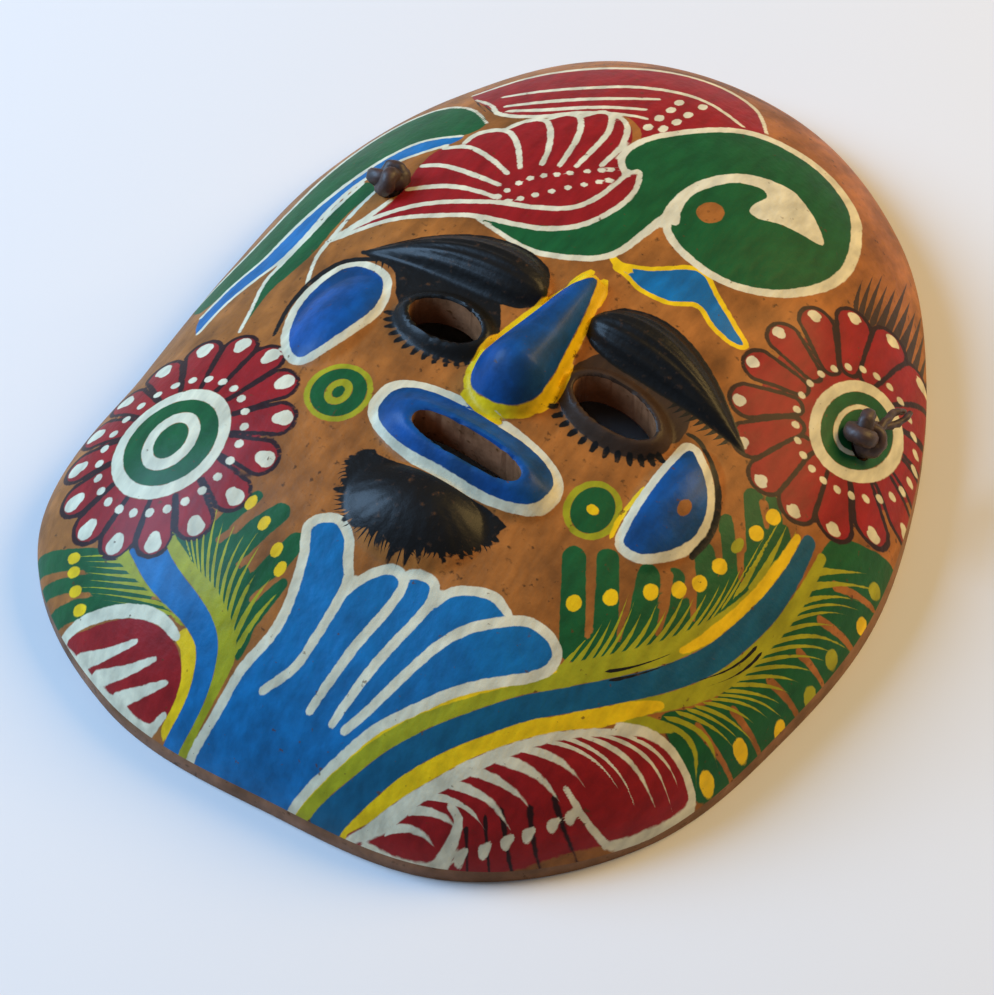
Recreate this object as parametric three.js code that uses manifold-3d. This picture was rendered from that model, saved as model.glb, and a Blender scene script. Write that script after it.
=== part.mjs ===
// Terracotta face mask with a leather hanging thong, lying face up on its rim.
// Millimetres. +Z points out of the face, +Y from chin to crown, +X to the viewer's right.
// The origin lies on the table, under the middle of the rim's outline.

import * as THREE from 'three';
import { mergeVertices } from 'three/addons/utils/BufferGeometryUtils.js';
import Module from 'manifold-3d';

const wasm = await Module();
wasm.setup();

// Rim: radius of the hand-cut edge at even steps, clockwise from the crown
const RIM_RADII = [99.5, 91, 80.5, 76, 77.5, 82, 93, 100, 99, 104.5, 103, 84, 78, 82, 90, 100];
const RIM_EDGE = 2;
const RIM_WIDTH = 7;

// Dome and wall
const DOME_HEIGHT = 40;
const DOME_FULLNESS = 2.5;
const DOME_SHOULDER = 1.52;
const WALL = 6.5;

// Eyes: an oval hole with a clay collar around it
const EYE_HEIGHT = 3;
const EYE_LEFT = { x: -18.6, y: -6.6, hole: [8.2, 4.5], ring: [11.4, 7.6], turn: -2 };
const EYE_RIGHT = { x: 20.5, y: -6.2, hole: [9.5, 4.8], ring: [12.8, 8.1], turn: -5 };

// Brows: a leaf with lengthwise grooves, rounded at the nose and tapering out to a point
const BROW = { inner: 5, outer: 45, bed: 3.4, tuck: 5.4, rise: 14.2, height: 4.6 };
const BROW_WIDEST = 0.3;
const BROW_TAPER = 1.3;
const BROW_GROOVES = 3.5;
const BROW_GROOVE_DEPTH = 0.3;

// Nose: a pear, narrow between the brows and full above the mouth
const NOSE = { x: 0.4, foot: -19.8, tip: 18, halfWidth: 9, tipHalfWidth: 2.8, height: 9.2, tipHeight: 2.4 };
const NOSE_WIDEST = 0.27;
const NOSE_FULLNESS = 2.6;

// Mouth: a level slot with one full ring of lip
const MOUTH = { x: 1.5, y: -29.8, slot: [12.6, 3.2], ring: [20.6, 8.8], turn: -3 };
const LIP_HEIGHT = 4.4;
const MOUTH_SQUARENESS = 2.6;

// Chin knob and the two cheek pads
const CHIN = { x: 0, y: -46, half: [14.5, 10.5], height: 4.4 };
const CHEEK_LEFT = { x: -39, y: -15, half: [8, 13], height: 2.6 };
const CHEEK_RIGHT = { x: 40.5, y: -16.5, half: [8, 15], height: 2.6 };

// Thong, its holes and knots
const THONG_HOLE_RADIUS = 2.6;
const THONG_HOLE_LEFT = [-49.5, 21];
const THONG_HOLE_RIGHT = [59.5, 24];
const THONG_RADIUS = 1.3;
const KNOT_RADIUS = 4.2;
const KNOT_LOOP_RADIUS = 1.7;
const KNOT_LOOP_TILT = 0.45;
const KNOT_LIFT = 3.5;
const KNOT_LEFT_SPIN = 0.5;
const KNOT_RIGHT_SPIN = -0.6;
const KNOT_RIGHT_TAIL_END = [62, 34, 20.5];
const THONG_ROUTE = [
  [-49.5, 21, 30.7], [-48.2, 20.7, 28], [-46.9, 20.4, 25.1], [-45.8, 20.3, 21.5], [-45, 20.8, 16.5],
  [-44.2, 22, 11], [-43, 24.6, 5.8], [-41.2, 28.8, 2.6], [-39.2, 34.5, 1.7], [-36.5, 42, 1.7],
  [-32, 51, 1.7], [-25.5, 59.5, 1.7], [-17, 66.5, 1.7], [-7, 71, 1.7], [4, 72, 1.7],
  [15, 70, 1.7], [25, 65, 1.7], [34, 57.5, 1.7], [41, 48.5, 1.7], [46, 39.5, 1.8],
  [49, 31.5, 2.4], [50, 26.6, 4], [50.4, 23.6, 6.6], [51.4, 22, 9.8], [53.2, 21.9, 13.2],
  [55.3, 22.5, 16], [57.6, 23.3, 18.6], [59.5, 24, 20.8],
];

// Facets: columns and rows of the face and of the hollow, closer set in the middle and at the rim
const FACE_GRID = [51, 57];
const HOLLOW_GRID = [18, 24];
const SPACING_MIDDLE = 0.5;
const SPACING_RIM = 0.6;
const UNDERSIDE_DRAW = 0.8;
const ROUND_SIDES = 14;
const THONG_SIDES = 8;
const THONG_STEPS = 42;

// Colours
const CLAY_COLOUR = 0xa8703c;
const LEATHER_COLOUR = 0x3a2c2a;

const between = (value, low, high) => Math.min(high, Math.max(low, value));

// Rim radius at a bearing (0 at the crown, clockwise), smooth through the listed steps
function rimRadius(bearing) {
  const count = RIM_RADII.length;
  const place = (((bearing / (2 * Math.PI)) % 1) + 1) % 1 * count;
  const step = Math.floor(place);
  const t = place - step;
  const [a, b, c, d] = [-1, 0, 1, 2].map((k) => RIM_RADII[(step + k + count) % count]);
  return 0.5 * (2 * b + (c - a) * t + (2 * a - 5 * b + 4 * c - d) * t ** 2 + (3 * b - a - 3 * c + d) * t ** 3);
}

// Height of a dome over its outline, where share is 0 in the middle and 1 at the edge
function domeHeight(share, edge, top) {
  return edge + (top - edge) * (1 - between(share, 0, 1) ** DOME_FULLNESS) ** (1 / DOME_SHOULDER);
}

// Distance from an oval's middle in units of its half sizes, turned by the oval's own angle
function ovalShare(x, y, place, half, squareness = 2) {
  const turn = THREE.MathUtils.degToRad(place.turn ?? 0);
  const [dx, dy] = [x - place.x, y - place.y];
  const along = Math.abs(dx * Math.cos(turn) + dy * Math.sin(turn)) / half[0];
  const across = Math.abs(dy * Math.cos(turn) - dx * Math.sin(turn)) / half[1];
  return (along ** squareness + across ** squareness) ** (1 / squareness);
}

// Collar of clay that falls away from a hole's edge to the collar's own outline
function collarRelief(x, y, place, hole, ring, height, squareness) {
  const past = Math.max(0, ovalShare(x, y, place, hole, squareness) - 1);
  const left = 1 - ovalShare(x, y, place, ring, squareness);
  return left > 0 ? height * (1 - (past / (past + left)) ** 2) : 0;
}

function padRelief(x, y, pad) {
  const share = ovalShare(x, y, pad, pad.half);
  return share < 1 ? pad.height * (1 - share ** 2) : 0;
}

function noseRelief(x, y) {
  const along = (y - NOSE.foot) / (NOSE.tip - NOSE.foot);
  if (along <= 0 || along >= 1) return 0;
  const low = Math.min(1, along / NOSE_WIDEST);
  const high = Math.max(0, (along - NOSE_WIDEST) / (1 - NOSE_WIDEST));
  const halfWidth = low < 1
    ? NOSE.halfWidth * Math.sqrt(1 - (1 - low) ** 2)
    : THREE.MathUtils.lerp(NOSE.halfWidth, NOSE.tipHalfWidth, high);
  const ridge = low < 1
    ? NOSE.height * (1 - (1 - low) ** 2)
    : THREE.MathUtils.lerp(NOSE.height, NOSE.tipHeight, high);
  const across = (x - NOSE.x) / halfWidth;
  return Math.abs(across) < 1 ? ridge * (1 - Math.abs(across) ** NOSE_FULLNESS) : 0;
}

function browRelief(x, y) {
  const along = (Math.abs(x) - BROW.inner) / (BROW.outer - BROW.inner);
  if (along <= 0 || along >= 1) return 0;
  const round = Math.sqrt(1 - (1 - Math.min(1, along / BROW_WIDEST)) ** 2);
  const out = Math.max(0, (along - BROW_WIDEST) / (1 - BROW_WIDEST));
  const body = round * (1 - out ** 2) ** BROW_TAPER;
  const low = BROW.bed + BROW.tuck * (1 - round);
  const high = low + BROW.rise * body;
  const across = (2 * (y - low)) / (high - low) - 1;
  if (Math.abs(across) >= 1) return 0;
  const groove = BROW_GROOVE_DEPTH * (1 - Math.cos(BROW_GROOVES * Math.PI * (across + 1))) * 0.5;
  return Math.max(0, BROW.height * body * (1 - across ** 2) - groove * body);
}

function faceRelief(x, y) {
  const eyes = [EYE_LEFT, EYE_RIGHT].map((eye) => collarRelief(x, y, eye, eye.hole, eye.ring, EYE_HEIGHT, 2));
  const lips = collarRelief(x, y, MOUTH, MOUTH.slot, MOUTH.ring, LIP_HEIGHT, MOUTH_SQUARENESS);
  const pads = [CHIN, CHEEK_LEFT, CHEEK_RIGHT].map((pad) => padRelief(x, y, pad));
  return Math.max(...eyes, ...pads, lips, noseRelief(x, y), browRelief(x, y));
}

function faceHeight(x, y) {
  const share = Math.hypot(x, y) / rimRadius(Math.atan2(x, y));
  return domeHeight(share, RIM_EDGE, DOME_HEIGHT) + faceRelief(x, y);
}

function hollowHeight(x, y) {
  const share = Math.hypot(x, y) / (rimRadius(Math.atan2(x, y)) - RIM_WIDTH);
  return domeHeight(share, 0, DOME_HEIGHT - WALL);
}

function toSolid(geometry) {
  const bare = geometry.index ? geometry.clone() : mergeVertices(geometry);
  bare.deleteAttribute('normal');
  bare.deleteAttribute('uv');
  const merged = mergeVertices(bare, 1e-4);
  const corners = Array.from(merged.index.array);
  const triVerts = [];
  for (let i = 0; i < corners.length; i += 3) {
    const [a, b, c] = corners.slice(i, i + 3);
    if (a !== b && b !== c && c !== a) triVerts.push(a, b, c);
  }
  return new wasm.Manifold(new wasm.Mesh({
    numProp: 3,
    vertProperties: new Float32Array(merged.attributes.position.array),
    triVerts: new Uint32Array(triVerts),
  }));
}

function toMesh(name, solid, colour, roughness) {
  const { vertProperties, triVerts } = solid.getMesh();
  const geometry = new THREE.BufferGeometry();
  geometry.setAttribute('position', new THREE.BufferAttribute(new Float32Array(vertProperties), 3));
  geometry.setIndex(Array.from(triVerts));
  geometry.computeVertexNormals();
  const mesh = new THREE.Mesh(geometry, new THREE.MeshStandardMaterial({ color: colour, roughness, metalness: 0 }));
  mesh.name = name;
  return mesh;
}

// Grid place from -1 to 1, with the lines closed up in the middle and at the edge
function closedUp(place) {
  const fifth = (SPACING_RIM + 2 * SPACING_MIDDLE - 3) / 2;
  const third = 1 - SPACING_MIDDLE - fifth;
  return place * (SPACING_MIDDLE + third * place ** 2 + fifth * place ** 4);
}

// A square slab pressed to the mask's outline: height on top, flat underneath at base.
// The underside's inner lines are drawn in, so that the flat rim is a single row of facets.
function pressedSlab([columns, rows], inset, base, height) {
  const geometry = new THREE.BoxGeometry(2, 2, 2, columns, rows, 1);
  const places = geometry.attributes.position;
  for (let i = 0; i < places.count; i += 1) {
    const [u, v] = [closedUp(places.getX(i)), closedUp(places.getY(i))];
    const [across, along] = [u * Math.sqrt(1 - v ** 2 / 2), v * Math.sqrt(1 - u ** 2 / 2)];
    const radius = rimRadius(Math.atan2(across, along)) - inset;
    const onTop = places.getZ(i) > 0;
    const onEdge = Math.max(Math.abs(u), Math.abs(v)) > 0.999;
    const draw = onTop || onEdge ? radius : radius * UNDERSIDE_DRAW;
    const [x, y] = [across * draw, along * draw];
    places.setXYZ(i, x, y, onTop ? height(x, y) : base);
  }
  return toSolid(geometry);
}

function ovalCutter(place, half, squareness) {
  const outline = new THREE.Shape(Array.from({ length: 2 * ROUND_SIDES }, (_, i) => {
    const angle = (Math.PI * i) / ROUND_SIDES;
    const reach = ([c, size]) => size * Math.sign(c) * Math.abs(c) ** (2 / squareness);
    return new THREE.Vector2(reach([Math.cos(angle), half[0]]), reach([Math.sin(angle), half[1]]));
  }));
  const geometry = new THREE.ExtrudeGeometry(outline, { depth: 2 * DOME_HEIGHT, bevelEnabled: false });
  geometry.rotateZ(THREE.MathUtils.degToRad(place.turn));
  geometry.translate(place.x, place.y, WALL);
  return toSolid(geometry);
}

// Outward direction of the face at a thong hole, and the turn that lays +Z along it
function holeFrame([x, y]) {
  const reach = 0.5;
  const slopeX = (faceHeight(x + reach, y) - faceHeight(x - reach, y)) / (2 * reach);
  const slopeY = (faceHeight(x, y + reach) - faceHeight(x, y - reach)) / (2 * reach);
  const outward = new THREE.Vector3(-slopeX, -slopeY, 1).normalize();
  const turn = new THREE.Quaternion().setFromUnitVectors(new THREE.Vector3(0, 0, 1), outward);
  return { place: new THREE.Vector3(x, y, faceHeight(x, y)), outward, turn };
}

function thongHoleCutter(spot) {
  const { place, turn } = holeFrame(spot);
  const geometry = new THREE.CylinderGeometry(THONG_HOLE_RADIUS, THONG_HOLE_RADIUS, 6 * WALL, ROUND_SIDES);
  geometry.rotateX(Math.PI / 2).applyQuaternion(turn).translate(place.x, place.y, place.z);
  return toSolid(geometry);
}

function makeMask() {
  const face = pressedSlab(FACE_GRID, 0, 0, faceHeight);
  const cutters = [
    pressedSlab(HOLLOW_GRID, RIM_WIDTH, -1, hollowHeight),
    ovalCutter(EYE_LEFT, EYE_LEFT.hole, 2),
    ovalCutter(EYE_RIGHT, EYE_RIGHT.hole, 2),
    ovalCutter(MOUTH, MOUTH.slot, MOUTH_SQUARENESS),
    thongHoleCutter(THONG_HOLE_LEFT),
    thongHoleCutter(THONG_HOLE_RIGHT),
  ];
  const shell = cutters.reduce((solid, cutter) => solid.subtract(cutter), face);
  return toMesh('mask', shell, CLAY_COLOUR, 0.5);
}

// The strip between the knots: in through the left hole, along the table inside the brow, out on the right
function makeThong() {
  const route = new THREE.CatmullRomCurve3(THONG_ROUTE.map((point) => new THREE.Vector3(...point)));
  const section = new THREE.Shape(Array.from({ length: THONG_SIDES }, (_, i) => {
    const angle = (2 * Math.PI * i) / THONG_SIDES;
    return new THREE.Vector2(THONG_RADIUS * Math.cos(angle), THONG_RADIUS * Math.sin(angle));
  }));
  const geometry = new THREE.ExtrudeGeometry(section, { steps: THONG_STEPS, extrudePath: route });
  return toMesh('thong', toSolid(geometry), LEATHER_COLOUR, 0.7);
}

// A pulled-up knot on the face: a lump with one turn of the strip around it, and a tail where it shows
function makeKnot(name, spot, spin, tailTo) {
  const { place, outward, turn } = holeFrame(spot);
  const lump = new THREE.SphereGeometry(KNOT_RADIUS, ROUND_SIDES, ROUND_SIDES / 2).scale(1, 0.8, 0.62);
  const loop = new THREE.TorusGeometry(KNOT_RADIUS - 1.2, KNOT_LOOP_RADIUS, THONG_SIDES, ROUND_SIDES);
  loop.rotateX(KNOT_LOOP_TILT);
  const middle = place.clone().addScaledVector(outward, KNOT_LIFT);
  const pieces = [lump, loop].map((geometry) => {
    geometry.rotateZ(spin).applyQuaternion(turn).translate(...middle);
    return toSolid(geometry);
  });
  if (tailTo) {
    const run = new THREE.Vector3(...tailTo).sub(middle);
    const tail = new THREE.CylinderGeometry(0.8 * THONG_RADIUS, 1.3 * THONG_RADIUS, run.length(), THONG_SIDES);
    tail.applyQuaternion(new THREE.Quaternion().setFromUnitVectors(new THREE.Vector3(0, 1, 0), run.clone().normalize()));
    tail.translate(...middle.clone().addScaledVector(run, 0.5));
    pieces.push(toSolid(tail));
  }
  const knot = pieces.reduce((solid, piece) => solid.add(piece));
  return toMesh(name, knot, LEATHER_COLOUR, 0.7);
}

const model = new THREE.Group();
model.add(
  makeMask(),
  makeThong(),
  makeKnot('knot_left', THONG_HOLE_LEFT, KNOT_LEFT_SPIN, null),
  makeKnot('knot_right', THONG_HOLE_RIGHT, KNOT_RIGHT_SPIN, KNOT_RIGHT_TAIL_END),
);

export default model;
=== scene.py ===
"""Painted terracotta mask: clay shell with brush-painted ornament, leather hanging thong, pale table."""

import math

import bmesh
import bpy
import numpy as np
from bpy.props import FloatProperty, FloatVectorProperty, IntProperty, PointerProperty
from mathutils import Matrix, Quaternion, Vector, noise


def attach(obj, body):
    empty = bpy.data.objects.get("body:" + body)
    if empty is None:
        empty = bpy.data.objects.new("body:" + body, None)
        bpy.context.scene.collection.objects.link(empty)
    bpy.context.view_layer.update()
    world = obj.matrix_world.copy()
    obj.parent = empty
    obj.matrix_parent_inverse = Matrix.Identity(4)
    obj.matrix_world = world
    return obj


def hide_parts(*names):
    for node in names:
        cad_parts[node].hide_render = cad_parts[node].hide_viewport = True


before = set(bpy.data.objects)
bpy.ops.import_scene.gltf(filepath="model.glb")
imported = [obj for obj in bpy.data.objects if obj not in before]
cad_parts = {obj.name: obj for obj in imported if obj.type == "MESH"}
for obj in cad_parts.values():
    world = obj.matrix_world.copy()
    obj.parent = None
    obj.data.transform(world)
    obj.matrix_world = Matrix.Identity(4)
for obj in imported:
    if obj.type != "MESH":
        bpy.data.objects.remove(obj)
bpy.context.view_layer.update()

bl_info = {
    "name": "Painted Terracotta Mask",
    "version": (1, 0, 0),
    "blender": (4, 5, 0),
    "location": "View3D > Sidebar > Mask",
    "description": "Builds a painted clay mask with its leather thong on a pale table",
    "category": "Add Mesh",
}

BODY = "root"
MM = 0.001

# Rim, dome and wall of the clay, in millimetres, as in the solid
RIM_RADII = np.array([99.5, 91, 80.5, 76, 77.5, 82, 93, 100, 99, 104.5, 103, 84, 78, 82, 90, 100])
RIM_EDGE = 2.0
RIM_WIDTH = 7.0
DOME_HEIGHT = 40.0
DOME_FULLNESS = 2.5
DOME_SHOULDER = 1.52
WALL = 6.5

# Modelled features of the face, in millimetres
EYE_HEIGHT = 3.0
EYE_LEFT = {"x": -18.6, "y": -6.6, "hole": (8.2, 4.5), "ring": (11.4, 7.6), "turn": -2.0}
EYE_RIGHT = {"x": 20.5, "y": -6.2, "hole": (9.5, 4.8), "ring": (12.8, 8.1), "turn": -5.0}
EYES = (EYE_LEFT, EYE_RIGHT)
BROW = {"inner": 5.0, "outer": 45.0, "bed": 3.4, "tuck": 5.4, "rise": 14.2, "height": 4.6}
BROW_WIDEST = 0.3
BROW_TAPER = 1.3
BROW_GROOVES = 6.0
BROW_GROOVE_DEPTH = 0.4
NOSE = {
    "x": 0.4, "foot": -19.8, "tip": 18.0, "half": 9.0, "tip_half": 2.8, "height": 9.2, "tip_height": 2.4,
}
NOSE_WIDEST = 0.27
NOSE_FULLNESS = 2.6
MOUTH = {"x": 1.5, "y": -29.8, "hole": (12.6, 3.2), "ring": (20.6, 8.8), "turn": -3.0}
LIP_HEIGHT = 4.4
MOUTH_SQUARENESS = 2.6
CHIN = {"x": 0.0, "y": -46.0, "half": (14.5, 10.5), "height": 4.4}
CHEEKS = (
    {"x": -39.0, "y": -15.0, "half": (8.0, 13.0), "height": 2.6},
    {"x": 40.5, "y": -16.5, "half": (8.0, 15.0), "height": 2.6},
)
HOLE_ROLL = 1.3
BEARD_CROWN = 6.0
BEARD_RIDGE = 0.05
BEARD_RIDGES = 31
BEARD_PARTING = 9.0
WAVE_ACROSS = 6.1
WAVE_ACROSS_DRIFT = 11.0
WAVE_ALONG = 7.3
WAVE_ALONG_DRIFT = 9.0

# Thong, its holes and knots, in millimetres
THONG_HOLES = {"left": (-49.5, 21.0), "right": (59.5, 24.0)}
THONG_HOLE_RADIUS = 2.6
THONG_ROUTE = (
    (-49.5, 21, 30.7), (-48.2, 20.7, 28), (-46.9, 20.4, 25.1), (-45.8, 20.3, 21.5), (-45, 20.8, 16.5),
    (-44.2, 22, 11), (-43, 24.6, 5.8), (-41.2, 28.8, 2.6), (-39.2, 34.5, 1.7), (-36.5, 42, 1.7),
    (-32, 51, 1.7), (-25.5, 59.5, 1.7), (-17, 66.5, 1.7), (-7, 71, 1.7), (4, 72, 1.7),
    (15, 70, 1.7), (25, 65, 1.7), (34, 57.5, 1.7), (41, 48.5, 1.7), (46, 39.5, 1.8),
    (49, 31.5, 2.4), (50, 26.6, 4), (50.4, 23.6, 6.6), (51.4, 22, 9.8), (53.2, 21.9, 13.2),
    (55.3, 22.5, 16), (57.6, 23.3, 18.6), (59.5, 24, 20.8),
)
KNOT_TAIL_END = (62.3, 38.0, 18.9)
KNOT_LIFT = 3.2
KNOT_SLUMP = (-1.8, 0.8)
KNOT_STEPS = 72
KNOT_CREASE = 0.4
KNOT_CREASES_PER_MM = 0.7
TAIL_STEPS = 24
TAIL_TWIST = 4.5

# Photograph's view: bearing and height in degrees, lens and aim
VIEW_AZIMUTH = 32.0
VIEW_ELEVATION = 55.0
VIEW_DISTANCE = 1000.0
VIEW_FOCUS_PIXELS = 5015.0
VIEW_PIXELS = (994, 995)
VIEW_TARGET = Vector((0, 0, 20))
VIEW_TARGET_PIXEL = (540.9, 400.0)
SENSOR_MM = 36.0

# Table's half size and its gap under the rim in metres
TABLE_HALF = 2.5
TABLE_GAP = 0.0002

# Lights with their place and size in metres, power in watts and colour, and the room's even light
LIGHTS = (
    ("window_light", (-1.05, -0.3, 0.78), 0.7, 25.0, "#AAD4FF"),
    ("lamp_light", (0.62, 0.92, 0.85), 0.7, 16.0, "#FFD584"),
)
ROOM_COLOUR = "#F2F4F8"
ROOM_STRENGTH = 0.2

# Paint coats from the first laid to the last, the distance that stands for bare clay, the thinnest stroke
COATS = ("umber", "green", "red", "blue", "teal", "deep", "outline", "olive", "yellow", "cream", "black")
FAR = 6.0
THINNEST = 0.8

# Coats with rows of fine strokes: sharpness of a stroke's edge, steps along a stroke and between two keys,
# reach around a row in millimetres, width left at a stroke's tip, and fill without strokes
BRUSHED = ("umber", "outline", "olive", "cream", "black")
STROKE_EDGE = 3.0
STROKE_STEPS = 13
KEY_STEPS = 8
ROW_REACH = 3.0
STROKE_TIP = 0.05
NO_STROKE = -0.5

# Flowers: petals, their width in millimetres, and dots around the rings
PETALS = 16
PETAL_WIDTH = 7.4
RING_DOTS = 26

# Grain of the finishes, in millimetres
CLAY_MOTTLE = 14.0
CLAY_GRIT = 1.6
BRUSH_MARK = (2.4, 7.7, 3.8)
HIDE_RUB = 2.2


def linear(hex_colour):
    """Linear colour with full opacity of an sRGB hex colour."""
    parts = [int(hex_colour[i:i + 2], 16) / 255 for i in (1, 3, 5)]
    return tuple(c / 12.92 if c <= 0.04045 else ((c + 0.055) / 1.055) ** 2.4 for c in parts) + (1.0,)


def colour_property(name, description, hex_colour):
    """A colour that the user can change, from its sRGB hex default."""
    return FloatVectorProperty(
        name=name, description=description, default=linear(hex_colour), size=4, min=0, max=1,
        subtype="COLOR",
    )


class MaskSizes(bpy.types.PropertyGroup):
    """Fineness of the clay, its hand-pressed waves and the thickness of the thong."""

    columns: IntProperty(name="Columns", description="Facets across the face", default=264, min=60, max=270)
    rows: IntProperty(name="Rows", description="Facets along the face", default=344, min=80, max=350)
    waves: FloatProperty(
        name="Waves", description="Height of the hand-pressed waves in the clay", default=0.0003,
        unit="LENGTH",
    )
    thong: FloatProperty(
        name="Thong", description="Diameter of the leather thong", default=0.0026, unit="LENGTH"
    )
    varnish: FloatProperty(
        name="Varnish", description="Strength of the clear varnish", default=0.07, min=0, max=1,
        subtype="FACTOR",
    )


class MaskColours(bpy.types.PropertyGroup):
    """Colours of the clay, its paints, the leather and the table."""

    clay: colour_property("Clay", "Bare fired clay under varnish", "#AA682D")
    clay_dark: colour_property("Dark clay", "Smoky patches and specks in the clay", "#583616")
    raw_clay: colour_property("Raw clay", "Dull clay of the hollow, holes and rim's foot", "#94684A")
    umber: colour_property("Umber", "Thin brown brush strokes", "#3E2C20")
    green: colour_property("Green", "Leaf and bird green", "#15552B")
    red: colour_property("Red", "Feather and petal red", "#92181A")
    blue: colour_property("Blue", "Sky blue of the fan and bands", "#106CA4")
    teal: colour_property("Teal", "Green-blue of the long band", "#0F5674")
    blue_dark: colour_property("Dark blue", "Blotches in the blues", "#0C3350")
    deep: colour_property("Deep blue", "Blue of the nose, lips and tear drops", "#0D4F92")
    outline: colour_property("Outline", "Thin dark outlines of petals", "#2C1010")
    olive: colour_property("Olive", "Thin yellow over green in the fronds", "#A09C1C")
    yellow: colour_property("Yellow", "Outlines and dots", "#EBC010")
    cream: colour_property("Cream", "Outlines, feather lines and dots", "#DAD2B4")
    black: colour_property("Black", "Brows, lashes and beard", "#141312")
    leather: colour_property("Leather", "Old hide thong", "#3E2A24")
    table: colour_property("Table", "Plain pale table", "#E8E8EA")


def curve_through(a, b, c, d, t):
    """Point at part t of the way from b to c on a smooth curve through four points or numbers."""
    return 0.5 * (2 * b + (c - a) * t + (2 * a - 5 * b + 4 * c - d) * t**2 + (3 * b - a - 3 * c + d) * t**3)


def rim_radius(x, y, inset=0.0):
    """Distance from the middle to the rim in each point's direction, smooth through its listed steps."""
    count = len(RIM_RADII)
    place = np.arctan2(x, y) / (2 * np.pi) % 1.0 * count
    step = np.floor(place).astype(int)
    around = (RIM_RADII[(step + k) % count] for k in (-1, 0, 1, 2))
    return curve_through(*around, place - step) - inset


def dome(x, y, inset, edge, top):
    """Height of a dome over the rim's outline drawn in by inset."""
    share = np.clip(np.hypot(x, y) / rim_radius(x, y, inset), 0, 1)
    return edge + (top - edge) * (1 - share**DOME_FULLNESS) ** (1 / DOME_SHOULDER)


def oval_share(x, y, middle, half, turn=0.0, squareness=2.0):
    """Distance from an oval's middle in units of its half sizes."""
    cos, sin = math.cos(math.radians(turn)), math.sin(math.radians(turn))
    dx, dy = x - middle[0], y - middle[1]
    along = np.abs(dx * cos + dy * sin) / half[0]
    across = np.abs(dy * cos - dx * sin) / half[1]
    return (along**squareness + across**squareness) ** (1 / squareness)


def collar(x, y, place, height, squareness=2.0):
    """Clay collar that falls from the rolled edge of a hole to the collar's own outline."""
    middle = place["x"], place["y"]
    past = np.maximum(0, oval_share(x, y, middle, place["hole"], place["turn"], squareness) - 1)
    left = np.maximum(1e-6, 1 - oval_share(x, y, middle, place["ring"], place["turn"], squareness))
    roll = np.clip(1 - past * min(place["hole"]) / HOLE_ROLL, 0, 1)
    relief = height * (1 - (past / (past + left)) ** 2) - HOLE_ROLL * (1 - np.sqrt(1 - roll**2))
    return np.where(left > 1e-6, np.maximum(relief, 0), 0)


def pad(x, y, place):
    """Low rounded swelling."""
    share = oval_share(x, y, (place["x"], place["y"]), place["half"])
    return place["height"] * np.maximum(0, 1 - share**2)


def nose(x, y):
    """Pear-shaped nose, from its foot to its tip between the brows."""
    along = (y - NOSE["foot"]) / (NOSE["tip"] - NOSE["foot"])
    inside = (along > 0) & (along < 1)
    low = np.clip(along / NOSE_WIDEST, 0, 1)
    high = np.clip((along - NOSE_WIDEST) / (1 - NOSE_WIDEST), 0, 1)
    ridge = (NOSE["height"] + (NOSE["tip_height"] - NOSE["height"]) * high) * (1 - (1 - low) ** 2)
    half = (NOSE["half"] + (NOSE["tip_half"] - NOSE["half"]) * high) * np.sqrt(1 - (1 - low) ** 2)
    across = (x - NOSE["x"]) / np.maximum(half, 1e-6)
    return np.where(inside, ridge * np.maximum(0, 1 - np.abs(across) ** NOSE_FULLNESS), 0)


def brow_edges(along):
    """Fullness and lower and upper edge of a brow from its inner end, at 0, to its point, at 1."""
    along = np.clip(along, 0, 1)
    full = np.sqrt(1 - (1 - np.minimum(1, along / BROW_WIDEST)) ** 2)
    out = np.maximum(0, (along - BROW_WIDEST) / (1 - BROW_WIDEST))
    body = full * (1 - out**2) ** BROW_TAPER
    low = BROW["bed"] + BROW["tuck"] * (1 - full)
    return body, low, low + BROW["rise"] * body


def brow(x, y):
    """Both brows, with lengthwise grooves."""
    along = (np.abs(x) - BROW["inner"]) / (BROW["outer"] - BROW["inner"])
    body, low, high = brow_edges(along)
    across = 2 * (y - low) / np.maximum(high - low, 1e-6) - 1
    inside = (along > 0) & (along < 1) & (np.abs(across) < 1)
    groove = BROW_GROOVE_DEPTH * (1 - np.cos(BROW_GROOVES * np.pi * (across + 1))) / 2
    relief = BROW["height"] * body * (1 - across**2) - groove * body
    return np.where(inside, np.maximum(relief, 0), 0)


def face_height(x, y):
    """Height of the modelled face above the table."""
    reliefs = [collar(x, y, eye, EYE_HEIGHT) for eye in EYES]
    reliefs += [pad(x, y, place) for place in (CHIN, *CHEEKS)]
    reliefs += [collar(x, y, MOUTH, LIP_HEIGHT, MOUTH_SQUARENESS), nose(x, y), brow(x, y)]
    return dome(x, y, 0.0, RIM_EDGE, DOME_HEIGHT) + np.max(reliefs, axis=0)


def hollow_height(x, y):
    """Height of the hollow under the face."""
    return dome(x, y, RIM_WIDTH, 0.0, DOME_HEIGHT - WALL)


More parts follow.
